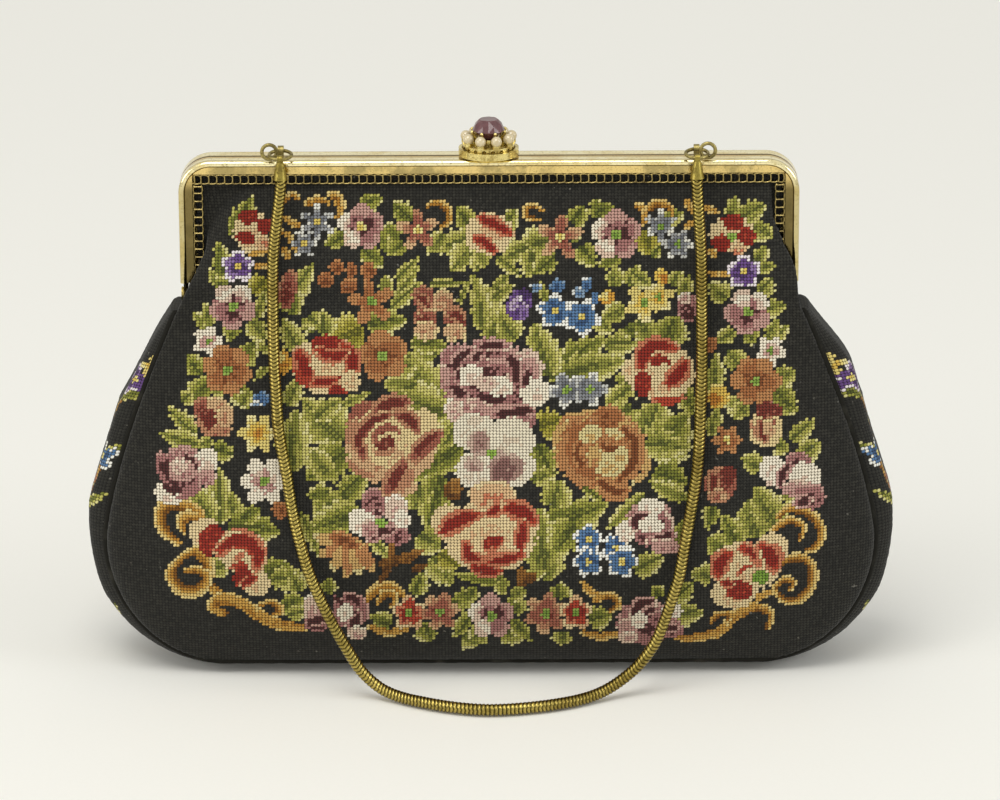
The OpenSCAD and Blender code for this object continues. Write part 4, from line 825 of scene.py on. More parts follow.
# Leaves: foot, tip, width and range of green
leaves = [
    (233, 238, 253, 196, 20, 0), (223, 284, 209, 269, 13, 1), (223, 278, 219, 240, 15, 0),
    (227, 286, 212, 280, 13, 0), (265, 278, 248, 294, 19, 2), (282, 311, 315, 262, 20, 1),
    (292, 316, 298, 290, 13, 0), (359, 208, 384, 197, 16, 0), (412, 220, 392, 202, 18, 0),
    (404, 242, 386, 253, 15, 0), (399, 238, 385, 223, 13, 0), (347, 233, 324, 246, 16, 0),
    (362, 250, 384, 266, 18, 0), (473, 227, 457, 206, 18, 0), (471, 236, 427, 250, 19, 1),
    (475, 242, 450, 272, 23, 1), (484, 246, 475, 272, 17, 1), (444, 233, 427, 254, 13, 1),
    (233, 322, 229, 342, 16, 0), (250, 320, 266, 341, 18, 1), (212, 330, 192, 312, 13, 1),
    (211, 328, 205, 302, 11, 1), (202, 374, 188, 354, 17, 0), (242, 364, 256, 340, 18, 0),
    (212, 379, 183, 403, 20, 0), (235, 387, 250, 409, 18, 0), (221, 387, 210, 391, 13, 1),
    (267, 366, 254, 381, 8, 1), (261, 351, 269, 345, 11, 1), (493, 238, 520, 210, 17, 0),
    (501, 236, 516, 208, 17, 0), (549, 238, 516, 246, 23, 1), (528, 246, 501, 257, 19, 1),
    (531, 250, 528, 278, 19, 1), (480, 254, 484, 269, 13, 1), (573, 225, 585, 206, 19, 0),
    (554, 254, 533, 273, 19, 0), (579, 246, 595, 267, 19, 0), (600, 217, 595, 198, 16, 0),
    (598, 212, 615, 208, 15, 0), (619, 254, 599, 267, 15, 0), (644, 231, 648, 257, 23, 2),
    (665, 223, 684, 211, 15, 1), (733, 217, 735, 196, 15, 1), (741, 219, 766, 204, 21, 1),
    (752, 227, 773, 237, 19, 1), (756, 265, 767, 244, 13, 1), (758, 269, 777, 265, 13, 1),
    (760, 294, 773, 278, 16, 1), (728, 299, 709, 283, 20, 1), (766, 309, 788, 306, 16, 1),
    (735, 330, 714, 342, 13, 1), (747, 332, 754, 345, 15, 0), (771, 341, 789, 324, 13, 1),
    (768, 341, 780, 317, 13, 1), (741, 366, 727, 349, 20, 1), (775, 379, 797, 373, 20, 1),
    (773, 391, 797, 413, 23, 0), (739, 396, 735, 419, 20, 1), (196, 433, 168, 406, 15, 1),
    (199, 444, 160, 433, 17, 1), (212, 440, 196, 446, 13, 1), (212, 449, 235, 455, 18, 0),
    (183, 403, 192, 392, 13, 1), (242, 405, 248, 392, 15, 1), (220, 524, 220, 468, 24, 1),
    (212, 520, 192, 485, 24, 1), (235, 516, 231, 490, 15, 1), (227, 527, 280, 532, 33, 0),
    (242, 520, 261, 508, 17, 0), (253, 531, 264, 546, 15, 0), (212, 570, 231, 564, 20, 1),
    (266, 577, 290, 564, 24, 0), (270, 581, 309, 577, 20, 1), (301, 592, 292, 572, 17, 1),
    (279, 609, 307, 598, 17, 0), (288, 616, 307, 611, 13, 1), (329, 594, 329, 577, 13, 0),
    (392, 624, 370, 616, 16, 0), (415, 596, 424, 572, 16, 0), (455, 605, 478, 590, 18, 0),
    (422, 624, 431, 642, 21, 0), (461, 635, 480, 644, 17, 0), (448, 607, 465, 600, 13, 0),
    (484, 629, 470, 640, 17, 0), (500, 631, 527, 638, 18, 0), (518, 615, 516, 590, 18, 0),
    (511, 597, 527, 590, 14, 1), (560, 599, 560, 582, 20, 0), (589, 620, 612, 615, 20, 0),
    (562, 631, 560, 645, 18, 1), (470, 597, 477, 587, 14, 0), (667, 615, 704, 613, 22, 1),
    (677, 597, 693, 583, 18, 0), (661, 597, 654, 585, 14, 0), (713, 574, 690, 574, 18, 1),
    (732, 551, 707, 539, 28, 0), (741, 548, 723, 514, 21, 0), (759, 537, 748, 500, 34, 1),
    (780, 528, 755, 486, 30, 1), (782, 496, 796, 493, 14, 1), (762, 466, 741, 457, 18, 1),
    (791, 441, 816, 419, 16, 1), (798, 459, 822, 441, 18, 1), (775, 445, 789, 450, 16, 1),
    (746, 404, 734, 418, 17, 1), (780, 401, 796, 411, 21, 0), (713, 505, 707, 530, 14, 0),
    (549, 379, 606, 337, 32, 0), (556, 379, 626, 360, 30, 1), (551, 377, 534, 322, 30, 1),
    (499, 342, 474, 275, 26, 1), (489, 340, 519, 305, 27, 1), (516, 340, 499, 310, 22, 1),
    (439, 409, 407, 352, 37, 1), (449, 414, 385, 384, 30, 1), (417, 384, 382, 382, 17, 1),
    (439, 355, 409, 342, 20, 1), (345, 439, 302, 399, 37, 1), (345, 449, 305, 479, 35, 0),
    (315, 419, 342, 399, 17, 1), (340, 407, 372, 392, 9, 1), (462, 442, 409, 479, 30, 0),
    (439, 474, 427, 529, 32, 0), (417, 484, 412, 511, 27, 1), (459, 419, 439, 449, 22, 1),
    (536, 444, 551, 484, 22, 0), (531, 481, 559, 471, 15, 1), (539, 534, 608, 504, 37, 0),
    (549, 581, 539, 506, 35, 1), (554, 509, 561, 479, 27, 1), (574, 521, 551, 554, 30, 0),
    (648, 439, 661, 399, 37, 1), (656, 459, 688, 414, 40, 0), (653, 474, 688, 484, 32, 0),
    (646, 444, 688, 449, 27, 1), (688, 499, 648, 481, 15, 1), (315, 499, 355, 521, 30, 1),
    (360, 511, 305, 529, 27, 0), (330, 491, 307, 496, 17, 0), (417, 536, 442, 549, 25, 1),
    (432, 556, 452, 586, 25, 1), (439, 554, 459, 568, 20, 2), (499, 576, 503, 596, 15, 1),
    (397, 302, 419, 265, 12, 1), (390, 310, 424, 280, 11, 1), (387, 292, 386, 274, 12, 1),
    (484, 330, 479, 282, 17, 1), (494, 297, 509, 272, 14, 1), (492, 300, 514, 285, 12, 1),
    (616, 287, 616, 265, 17, 1), (631, 287, 638, 265, 19, 1), (633, 275, 651, 285, 15, 1),
    (626, 307, 599, 320, 17, 1), (638, 320, 648, 345, 27, 1), (626, 325, 633, 337, 22, 0),
    (668, 342, 678, 315, 30, 0), (673, 287, 681, 270, 17, 1), (683, 297, 689, 275, 15, 1),
    (594, 320, 613, 332, 15, 1), (315, 332, 302, 317, 15, 1), (362, 327, 327, 342, 32, 2),
    (367, 325, 407, 320, 21, 0), (327, 335, 322, 310, 20, 1), (307, 317, 320, 327, 15, 1),
    (412, 342, 449, 347, 17, 0), (539, 429, 564, 419, 27, 2), (621, 389, 633, 379, 25, 1),
    (631, 404, 608, 422, 20, 1), (395, 369, 417, 364, 20, 1), (330, 474, 310, 449, 20, 1),
    (362, 509, 382, 499, 15, 1), (459, 305, 472, 275, 7, 1), (302, 352, 282, 318, 20, 1),
    (292, 472, 297, 408, 28, 1), (342, 500, 368, 472, 22, 0), (300, 512, 320, 558, 12, 1),
    (396, 282, 420, 257, 12, 1), (428, 284, 468, 283, 8, 1), (496, 257, 522, 277, 10, 1),
    (548, 302, 540, 282, 8, 0), (604, 346, 638, 344, 19, 1), (630, 386, 604, 404, 17, 1),
    (680, 388, 694, 416, 17, 0), (714, 394, 717, 352, 16, 1), (711, 436, 719, 406, 14, 1),
    (645, 494, 606, 530, 15, 1), (634, 572, 664, 556, 20, 1), (675, 550, 685, 518, 13, 0),
    (499, 583, 453, 574, 9, 0), (370, 538, 392, 561, 10, 1), (583, 487, 604, 502, 8, 0),
    (524, 578, 547, 571, 10, 1), (385, 252, 384, 224, 8, 0), (256, 320, 267, 288, 10, 1),
    (287, 407, 301, 376, 15, 1), (472, 613, 453, 637, 13, 0), (510, 620, 532, 642, 13, 0),
    (652, 258, 662, 244, 9, 0), (624, 236, 634, 222, 8, 0), (575, 244, 577, 228, 9, 1)]


def draw_chart(px, py):
    """Thread colour of each stitch at a place on the pattern sheet, laid in the order a chart is
    filled: ground, leaves, scrolls, whole flowers, then the drawn ones. Shades mingle from
    stitch to stitch by a small seeded grain."""
    grain = np.random.default_rng(5).uniform(-1, 1, len(px))
    chart = ground_wool * (1 + 0.4 * grain[:, None])

    def near(x, y, reach):
        return np.flatnonzero((np.abs(px - x) < reach) & (np.abs(py - y) < reach))

    def sew(at, share, shades):
        pick = np.clip((share + 0.07 * grain[at]) * len(shades), 0, len(shades) - 0.01).astype(int)
        chart[at] = shades[pick] * (1 + 0.07 * grain[at][::-1, None])

    def leaf(x0, y0, x1, y1, width, green):
        """Lens round the line from foot to tip, with a toothed edge: dark along one side of the
        vein, light at the rim and the tip, with streaks along the blade."""
        long = np.hypot(x1 - x0, y1 - y0)
        ux, uy = (x1 - x0) / long, (y1 - y0) / long
        at = near((x0 + x1) / 2, (y0 + y1) / 2, long / 2 + width)
        a = ((px[at] - x0) * ux + (py[at] - y0) * uy) / long
        b = (py[at] - y0) * ux - (px[at] - x0) * uy
        inner = np.clip(a, 0.001, 0.999)
        teeth = 1 + 0.36 * (((inner * 5) % 1) - 0.5)
        half = width * 0.62 * np.sin(np.pi * inner ** 0.72) ** 0.75 * teeth
        on = (a > 0) & (a < 1) & (np.abs(b) < half)
        edge = np.abs(b) / np.maximum(half, 0.1)
        streak = np.sin(b * 1.15 + x0) * (1 - edge)
        share = 0.1 + 0.62 * edge ** 1.2 + 0.1 * np.sign(b) + 0.13 * streak + 0.22 * a
        sew(at[on], share[on], leaf_threads[green])

    def stroke(width, turns):
        """Stitches near the smooth line through its turning points, the line thin at both ends:
        which they are, how far each lies towards the outside of the bend, from -1 to 1, and how near
        it is to either end of the line, up to 1."""
        line = even_route([(x, y, 0) for x, y in turns], 0.8)[0][:, :2]
        at = near(*(line.max(0) + line.min(0)) / 2, np.ptp(line, axis=0).max() / 2 + width)
        gap = np.hypot(px[at][:, None] - line[:, 0], py[at][:, None] - line[:, 1])
        first = gap.argmin(1)
        half = width / 2 * (0.45 + 0.75 * np.sin(np.pi * (0.12 + 0.8 * first / (len(line) - 1))))
        middle = line.mean(0)
        out = np.hypot(px[at] - middle[0], py[at] - middle[1]) - np.hypot(*(line[first] - middle).T)
        on = gap.min(1) < half
        return at[on], (out / half)[on], np.abs(2 * first[on] / (len(line) - 1) - 1)

    def flower(x, y, reach, count, turn, point, petals, eye):
        """Ring of petals: the rim is a cosine round each petal's middle, raised to a power that
        makes it round or pointed. Threads run from the heart outwards."""
        at = near(x, y, reach + 1)
        dx, dy = px[at] - x, py[at] - y
        angle = (np.arctan2(dy, dx) - np.radians(turn)) * count / (2 * np.pi)
        number = np.round(angle).astype(int)
        off = np.abs(angle - number) * 2
        full = 0.8 - 0.38 * point
        rim = reach * (full + (1 - full) * np.cos(off * np.pi / 2) ** (0.5 + point))
        far = np.hypot(dx, dy)
        on = far < rim
        share = far / rim - 0.3 * (off > 0.82)
        for k, shades in enumerate(petals):
            mine = on & (number % len(petals) == k)
            sew(at[mine], share[mine], shades)
        middle = far < np.clip(reach * 0.22, 3, 5)
        sew(at[middle], far[middle] / 6, eye)

    for row in leaves:
        leaf(*row)
    for width, turns in scrolls:
        at, out, _ = stroke(width, turns)
        sew(at, 0.45 + 0.5 * out, gold_threads)
    for row in whole_flowers:
        flower(*row)
    for shades, petals in drawn_flowers:
        for petal in petals:
            if len(petal) == 3:
                tone, width, turns = petal
                # A broad dark fold lies in a wider one of a middle thread, so that it shades off
                if tone == 0 and width > 5:
                    at, out, end = stroke(1.7 * width, turns)
                    sew(at, (2.0 + 0.6 * out + 0.6 * end) / len(shades), shades)
                    width *= 0.85
                at, out, end = stroke(width, turns)
                sew(at, (tone + 0.4 + 0.3 * out + 0.9 * end ** 3) / len(shades), shades)
                continue
            x, y, a, b, turn, tone = petal
            at = near(x, y, max(a, b) + 2)
            c, s = np.cos(np.radians(turn)), np.sin(np.radians(turn))
            dx, dy = px[at] - x, py[at] - y
            far = ((dx * c + dy * s) / (a + 0.4)) ** 2 + ((dy * c - dx * s) / (b + 0.4)) ** 2
            on = far < 1 + 0.12 * grain[at]
            lift = 0.05 if tone == 0 else 0.2 * (far - 0.5) - 0.1 * dy / b
            sew(at[on], ((tone + 0.5) / len(shades) + lift * np.ones_like(far))[on], shades)
    return chart


sheet_focus, sheet_middle = 5500.0, (500.0, 400.0)


def sheet_place(points):
    """Place of each stitch's middle on the pattern sheet: the panel drawn as it is seen from the
    front and a little above, 3.7 units to the millimetre, down and to the right from a corner."""
    middle = (points[:-1, :-1] + points[:-1, 1:] + points[1:, :-1] + points[1:, 1:]).reshape(-1, 3) / 4
    away = middle - camera_place
    deep = away @ np.array(ahead)
    return (sheet_middle[0] + sheet_focus * (away @ np.array(across)) / deep,
            sheet_middle[1] - sheet_focus * (away @ np.array(upward)) / deep)


def stitch_group():
    """Slanted half-cross stitches on a square canvas, from the stitch count. Cover is 1 on the
    thread and 0 in the holes of the canvas, Height the round of the thread."""
    group = bpy.data.node_groups.new("half_cross_stitch", "ShaderNodeTree")
    group.interface.new_socket("Count", in_out="INPUT", socket_type="NodeSocketVector")
    for name in ("Cover", "Height"):
        group.interface.new_socket(name, in_out="OUTPUT", socket_type="NodeSocketFloat")
    start, end = add(group, "NodeGroupInput"), add(group, "NodeGroupOutput")
    part = add(group, "ShaderNodeSeparateXYZ", {0: start.outputs[0]})
    a = figured(group, "SUBTRACT", figured(group, "FRACT", part.outputs[0]), 0.5)
    b = figured(group, "SUBTRACT", figured(group, "FRACT", part.outputs[1]), 0.5)
    along = figured(group, "MULTIPLY", figured(group, "ADD", a, b), 0.95)
    wide = figured(group, "MULTIPLY", figured(group, "SUBTRACT", a, b), 1.3)
    far = figured(group, "ADD", figured(group, "MULTIPLY", along, along),
                  figured(group, "MULTIPLY", wide, wide))
    round_ = figured(group, "SUBTRACT", 1.0, figured(group, "MULTIPLY", far, 1.6))
    group.links.new(stepped(group, round_, -0.15, 0.5), end.inputs[0])
    group.links.new(figured(group, "MAXIMUM", round_, 0.0), end.inputs[1])
    return group


half_cross = stitch_group()


def spotted(tree, colour, mask, low, high, strength, tone, blend="MIX"):
    """Colour with a tone laid over it where a mask goes from low to high, up to a strength."""
    share = figured(tree, "MULTIPLY", stepped(tree, mask, low, high), strength)
    return mixed(tree, share, colour, linear(tone), blend)


def stitched_finish(name, hole):
    """Wool and silk thread over canvas: the thread's colour, with painted shade in the holes, soft and
    matt, with a little pale dust and fluff."""
    finish, tree, skin = new_finish(name)
    count = add(tree, "ShaderNodeUVMap", uv_map="stitches").outputs[0]
    stitches = add(tree, "ShaderNodeGroup", {"Count": count}, node_tree=half_cross)
    thread = add(tree, "ShaderNodeVertexColor", layer_name="thread").outputs["Color"]
    place = on_object(tree)
    fluff, faded, lint = (noise(tree, place, scale, detail)
                          for scale, detail in ((2400.0, 2.0), (45.0, 3.0), (700.0, 1.0)))
    colour = spotted(tree, thread, fluff, 0.55, 0.8, 0.05, "#b8b4a8")
    colour = spotted(tree, colour, faded, 0.4, 0.7, 0.12, "#8a8578", "OVERLAY")
    colour = spotted(tree, colour, lint, 0.74, 0.8, 0.3, "#b0aca0")
    # Painted shade in the holes of the canvas
    shadow = mixed(tree, 1.0, colour, linear(hole), "MULTIPLY")
    tree.links.new(mixed(tree, stitches.outputs["Cover"], shadow, colour), skin.inputs["Base Color"])
    bump = add(tree, "ShaderNodeBump", {"Height": stitches.outputs["Height"], "Strength": 0.5,
                                        "Distance": 0.00018})
    tree.links.new(bump.outputs[0], skin.inputs["Normal"])
    rough = add(tree, "ShaderNodeMapRange", {0: fluff, 1: 0.3, 2: 0.7, 3: 0.7, 4: 0.92})
    tree.links.new(rough.outputs[0], skin.inputs["Roughness"])
    give(skin, {"Specular IOR Level": 0.25, "Sheen Weight": 0.08, "Sheen Roughness": 0.5})
    return finish


petit_point = stitched_finish("petit_point", "#6a655c")
# Folds: side, place of the upper end, place of the lower end, and how far the cloth falls back
corner_folds = [(-1, (64.0, 136.0, 88.0, 99.0, 3.2)), (1, (80.0, 133.0, 86.0, 103.0, 3.0))]
canvas, inside = canvas_grid(corner_folds, slack=4.0)
front = stitched_cloth("front_petit_point", canvas, inside, draw_chart(*sheet_place(canvas)))
front.data.materials.append(petit_point)
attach(front, "bag")
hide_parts("front_panel")

# The back panel: the same petit point, worked to the same chart. Its top is held in the back half
# of the frame.


def arm_limit(z):
    """Half width that leaves room for the back arms to swing past, from under the hinge up."""
    return np.where(z > hinge_z - 5, mouth_half, np.inf)


canvas, inside = canvas_grid([], arm_limit)
threads_back = draw_chart(*sheet_place(canvas))
back = stitched_cloth("back_petit_point", canvas * [-1, -1, 1], inside, threads_back)
back.data.materials.append(petit_point)
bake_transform(back)
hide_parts("back_panel", "back_panel_top")

# The gusset: one long strip of the same canvas that makes the two sides and the bottom, with a
# sparse band of flowers up each side. Sewn between the panels in the piped seams.


def side_line():
    """The strip's widest line and the seam beside it from the left hinge to the right, a stitch
    apart: x and z of both, and the seam's depth. Its end is turned in under the hinge; then come
    the sides, quarter turns and the flat base."""
    z = np.linspace(hinge_z - 3, belly_z, 200)
    a = np.linspace(np.pi / 2, 0, 160)[1:]
    x = np.linspace(-base_half, 0, 120)[1:]
    one = np.ones_like
    left = np.vstack([
        np.stack([-(bag_half - (bag_half - frame_half) * rise(z) ** 1.7), z, -seam_x(z), z, seam_y(z)], -1),
        np.stack([-bag_half + (bag_half - base_half) * (1 - np.sin(a)), belly_z * (1 - np.cos(a)),
                  -seam_half + (seam_half - base_half) * (1 - np.sin(a)),
                  belly_z - (belly_z - seam_z) * np.cos(a),
                  base_deep + (side_deep - base_deep) * np.sin(a)], -1),
        np.stack([x, 0 * x, x, seam_z * one(x), base_deep * one(x)], -1)])
    turned_x, turned_z = -frame_half + 8, hinge_z - 4.2
    turned_in = [turned_x, turned_z, turned_x, turned_z, neck_deep - 1.5]
    left = np.vstack([turned_in, left])
    line = np.vstack([left, left[-2::-1] * [-1, 1, -1, 1, 1]])
    run = np.concatenate([[0], np.cumsum(np.hypot(np.diff(line[:, 0]), np.diff(line[:, 1])))])
    even = np.arange(0, run[-1], stitch)
    return np.stack([np.interp(even, run, line[:, k]) for k in range(5)], -1), even - run[-1] / 2


line, along = side_line()
edge_x, edge_z, sewn_x, sewn_z, sewn_y = (line[:, k:k + 1] for k in range(5))
pipe_r, strip_cols, puff_high, slack_high, slack_z = 1.1, 35, 1.1, 3.0, 86
s = np.linspace(-1, 1, strip_cols)[None]
reach = s * (1 - pipe_r / sewn_y)
curl = ramp(np.abs(s), 0.5, 0.5) ** 2
free = ramp(edge_z, 8, 20) * ramp(hinge_z - 6 - edge_z, 0, 20)
puff = puff_high * np.sin(along * 0.11)[:, None] * (1 - reach ** 2) * free
slack = slack_high * np.exp(-((edge_z - slack_z) / 9) ** 2) * (edge_x > 0) * (1 - s ** 4)
gx = edge_x + (sewn_x - edge_x) * curl - np.sign(edge_x) * np.abs(puff) + slack
gz = np.maximum(edge_z + (sewn_z - edge_z) * curl, 0)
strip = np.stack(np.broadcast_arrays(gx, sewn_y * reach, gz), -1)
mid_run = np.repeat((along[:-1] + along[1:])[:, None] / 2, strip_cols - 1, 1)
mid_deep = (strip[:-1, :-1, 1] + strip[1:, 1:, 1]) / 2
# Flowers of the band: height on it, place across, reach, threads of the petals and of the eye
band_flowers = [(-12, 2, 4.2, blue, yellow_eye), (-3, -2, 4.4, pansy, green_eye),
                (10, 2, 4.2, yellow, green_eye), (29, 1, 4.8, rust, green_eye),
                (38, -1, 4.6, blue, yellow_eye), (62, 1, 5.2, violet, yellow_eye),
                (67, -2, 3.6, yellow, yellow_eye)]


def draw_band(run, deep):
    """Band up each side, from the length along the strip and the depth: a winding gold stem with
    leaves to both sides and seven flowers in blue, mauve, yellow, rust and violet."""
    band_foot, leaf_count, leaf_step, leaf_long, petal_count = 118.0, 9, 8.6, 8.0, 5
    grain = np.random.default_rng(9).uniform(-1, 1, run.shape)
    chart = ground_wool * (1 + 0.25 * grain[..., None])
    up = np.abs(run) - band_foot

    def lay(on, share, shades):
        pick = np.clip((share + 0.14 * grain) * len(shades), 0, len(shades) - 0.01).astype(int)
        chart[on] = shades[pick][on]

    def sway(height):
        return 2.6 * np.sin(height / 6.5)

    middle = -7.0 * ramp(up, 12, 40)
    wind = middle + sway(up)
    shown = (up > -22) & (up < 70)
    lay(shown & (np.abs(deep - wind) < 0.9), 0.5 + 0.4 * (deep - wind), gold_threads)
    for k in range(leaf_count):
        foot, side = -14 + leaf_step * k, 1 if k % 2 else -1
        a = (up - foot) / leaf_long
        b = side * (deep - middle - sway(foot)) - 0.9 * (up - foot)
        half = 2.6 * np.sin(np.pi * np.clip(a, 0, 1) ** 0.8)
        on = (a > 0) & (a < 1) & (np.abs(b) < half)
        lay(on, 0.2 + 0.7 * np.abs(b) / np.maximum(half, 0.1), leaf_threads[k % 2])
    for place, side, size, petals, eye in band_flowers:
        dx, dy = deep - middle - side, up - place
        angle = np.arctan2(dy, dx) * petal_count / (2 * np.pi)
        number = np.round(angle).astype(int)
        rim = size * (0.45 + 0.55 * np.cos((angle - number) * np.pi) ** 0.8)
        far = np.hypot(dx, dy)
        for n, shades in enumerate(petals):
            lay((far < rim) & (number % len(petals) == n), far / rim, shades)
        lay(far < 1.0, far, eye)
    return chart


gusset = stitched_cloth("gusset_petit_point", strip, np.ones(strip.shape[:2], bool),
                        draw_band(mid_run, mid_deep))
gusset.data.materials.append(petit_point)
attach(gusset, "bag")
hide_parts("gusset")

# The piping: cotton cord covered with black canvas cut on the bias, sewn into both seams. The back
# one ends below the hinge, where the opening arms come down, and its ends are rounded off.
piping_canvas, tree, skin = new_finish("piping_canvas")
place = add(tree, "ShaderNodeUVMap", uv_map="stitches").outputs[0]
twill = add(tree, "ShaderNodeTexWave", {"Vector": place, "Scale": 1.0, "Distortion": 0.4})
worn = noise(tree, on_object(tree), 160.0, 4.0)
colour = mixed(tree, twill.outputs[1], linear("#171613"), linear("#2b2a25"))
colour = spotted(tree, colour, worn, 0.52, 0.75, 0.5, "#4a4840")
tree.links.new(colour, skin.inputs["Base Color"])
bump = add(tree, "ShaderNodeBump", {"Height": twill.outputs[1], "Strength": 0.4, "Distance": 0.0002})
tree.links.new(bump.outputs[0], skin.inputs["Normal"])
give(skin, {"Roughness": 0.95, "Specular IOR Level": 0.1})
pipe_sides, pipe_girth, back_end_z = 14, 6.9, hinge_z - 6.5
turn = np.arange(pipe_sides) / pipe_sides * 2 * np.pi
for half, face in (("front", -1), ("back", 1)):
    sewn = line if half == "front" else line[line[:, 3] < back_end_z]
    seam = np.stack([sewn[:, 2], face * sewn[:, 4], sewn[:, 3]], -1)
    from_end = np.minimum(np.arange(len(seam)), np.arange(len(seam))[::-1])
    rounded = np.sqrt(np.clip(from_end / 2, 0.0004, 1))
    lumps = (pipe_r + 0.04 * np.sin(np.arange(len(seam)) * 0.9)) * rounded
    tube = carry(seam, np.stack([lumps[:, None] * np.cos(turn), lumps[:, None] * np.sin(turn)], -1))
    faces = grid_faces(len(seam), pipe_sides, True)
    cord = lay_mesh(f"{half}_seam_piping", tube, faces)
    places = np.stack([faces // pipe_sides * stitch, faces % pipe_sides / pipe_sides * pipe_girth], -1)
    add_uv(cord, close_round(places, pipe_girth))
    cord.data.materials.append(piping_canvas)
    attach(cord, "bag")
    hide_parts(f"{half}_piping")

# The lining: two leaves of old silk satin, each with a narrow strip of floor sewn to the base and its
# top glued under the frame's flanges.


def lining_grid(folds):
    """Leaf of the lining: floor, quarter turn, wall. A row bulges as the panel's does and comes to
    the middle plane at its ends, lying flat inside the frame. It keeps a distance from the panel
    and a small one from the middle plane, where the other leaf is."""
    from_panel, from_middle, columns, floor_z = 2.1, 0.3, 110, 2.1
    a = np.linspace(np.radians(30), np.pi / 2, 24)
    z = np.linspace(belly_z, cloth_top_z, 90)[1:]
    height = np.concatenate([belly_z - (belly_z - seam_z) * np.cos(a), z])
    half = np.concatenate([seam_half - (seam_half - base_half) * (1 - np.sin(a)), seam_x(z)])
    deep = np.concatenate([base_deep + (half_deep - base_deep) * np.sin(a),
                           np.maximum(cloth_deep(z), seam_y(z))])
    half = np.minimum(half, arm_limit(height)) - 4.0 + 6.3 * ramp(height, neck_z, 3)
    half, deep, height, flat = (row[:, None] for row in (half, deep, height, tuck(height)))
    u = np.sin(np.linspace(-np.pi / 2, np.pi / 2, columns))[None]
    bulge = flat + (1 - flat) * np.sqrt(1 - np.abs(u) ** 2.5)
    y = np.maximum(from_middle, (deep - from_panel) * bulge)
    crease = 0.5 * np.sin(u * 38 + height * 0.05) * np.sin(height * 0.045)
    y = np.maximum(from_middle, y - np.abs(crease) * (1 - flat) * ramp(y, 0, 6))
    x = half * u
    hung = settle(x, y + from_panel, height, folds) - from_panel
    y = np.minimum(y, np.maximum(from_middle, hung))
    y = np.minimum(y, 1.9 + 1.2 * np.maximum(0, mouth_half - 1.5 - np.abs(x))
                   + 20 * ramp(neck_z + 3 - height, 0, 3))
    wall = np.stack(np.broadcast_arrays(x, -y, height), -1)
    floor_x = (base_half - 4.6) * u
    floor = [np.stack(np.broadcast_arrays(floor_x, edge_y, floor_z), -1) for edge_y in (-6.6, -11.5)]
    return np.concatenate([*floor, wall])


satin, tree, skin = new_finish("lining_satin")
place = on_object(tree)
stretch = add(tree, "ShaderNodeMapping", {"Vector": place, "Scale": (400.0, 400.0, 3000.0)}).outputs[0]
weave = noise(tree, stretch, 1.0, 2.0)
stain = noise(tree, place, 30.0, 5.0)
colour = mixed(tree, weave, linear("#a08a6a"), linear("#b9a484"))
colour = spotted(tree, colour, stain, 0.5, 0.7, 0.4, "#7a6448")
tree.links.new(colour, skin.inputs["Base Color"])
bump = add(tree, "ShaderNodeBump", {"Height": weave, "Strength": 0.15, "Distance": 0.0002})
tree.links.new(bump.outputs[0], skin.inputs["Normal"])
give(skin, {"Roughness": 0.42, "Sheen Weight": 0.3})
for half, face in (("front", 1), ("back", -1)):
    leaf = lining_grid(corner_folds if half == "front" else [])
    faces = grid_faces(*leaf.shape[:2])[:, ::-1]
    lining = lay_mesh(f"{half}_satin_lining", leaf * [face, face, 1], faces)
    wall = lining.modifiers.new("thickness", "SOLIDIFY")
    wall.thickness = 0.4 * mm
    lining.data.materials.append(satin)
    if half == "front":
        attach(lining, "bag")
        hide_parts("lining_front")
    else:
        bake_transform(lining)
        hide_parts("lining_back", "lining_back_top")

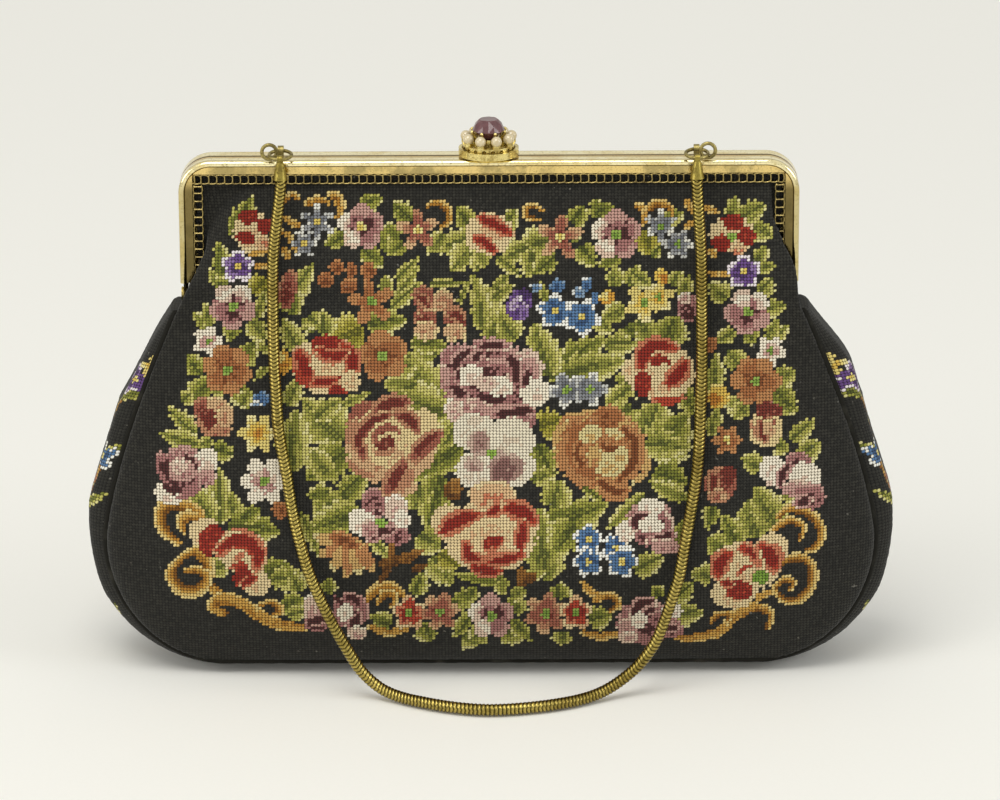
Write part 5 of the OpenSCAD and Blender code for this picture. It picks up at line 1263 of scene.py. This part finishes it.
# The clasp: a dished gilt plate hinged to the back half, nine glass pearls in cups on a pierced
# gallery, and a cut purple glass stone held by eight prongs.
dress(["clasp_plate", "clasp_gallery", "pearl_cups", "stone_crown"], gilt_small, 0.08)
pearl, tree, skin = new_finish("glass_pearl")
cloud = noise(tree, on_object(tree), 700.0, 3.0)
tree.links.new(mixed(tree, cloud, linear("#c2ac7c"), linear("#e0d2ac")), skin.inputs["Base Color"])
give(skin, {"Roughness": 0.12, "Specular IOR Level": 0.9, "Coat Weight": 1.0})
dress(["pearls"], pearl)
amethyst, tree, skin = new_finish("purple_glass")
cloud = noise(tree, on_object(tree), 500.0, 2.0)
tree.links.new(mixed(tree, cloud, linear("#553034"), linear("#8c5c60")), skin.inputs["Base Color"])
give(skin, {"Roughness": 0.05, "IOR": 1.6, "Transmission Weight": 0.3})
low, high = (np.array(corner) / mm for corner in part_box("stone"))


def cut_ring(radius, height, offset, count=8):
    """A ring of facet corners: equal steps round a circle, turned by a share of a step."""
    a = (np.arange(count) + offset) / count * 2 * np.pi
    return np.stack([radius * np.cos(a), radius * np.sin(a), np.full(count, height)], -1)


wide, tall = (high[0] - low[0]) / 2 * 1.03, high[2] - low[2]
girdle = low[2] + 0.49 * tall
corners = np.vstack([cut_ring(0.58 * wide, high[2] + 0.2, 0),
                     cut_ring(0.86 * wide, girdle + 0.32 * tall, 0.5),
                     cut_ring(wide, girdle + 0.03 * tall, 0, 16), cut_ring(0.3 * wide, low[2], 0)])
corners[:, :2] += (low[:2] + high[:2]) / 2
# First corner of the crown's ring, of the girdle's and of the foot's; the top's is 0
crown, belt, foot = 8, 16, 32
cuts = []
for k in range(8):
    n = (k + 1) % 8
    g0, g1, g2 = belt + 2 * k, belt + 2 * k + 1, belt + (2 * k + 2) % 16
    cuts += [(k, crown + k, n), (n, crown + k, g2), (n, g2, crown + n), (crown + k, g0, g1),
             (crown + k, g1, g2), (foot + k, g1, g0), (foot + k, g2, g1), (foot + k, foot + n, g2)]
cuts += [(0, k, k + 1) for k in range(1, 7)] + [(foot, foot + 1 + k, foot + k) for k in range(1, 7)]
stone = lay_mesh("cut_stone", corners, cuts, smooth=False)
stone.data.materials.append(amethyst)
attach(stone, "clasp")
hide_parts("stone")
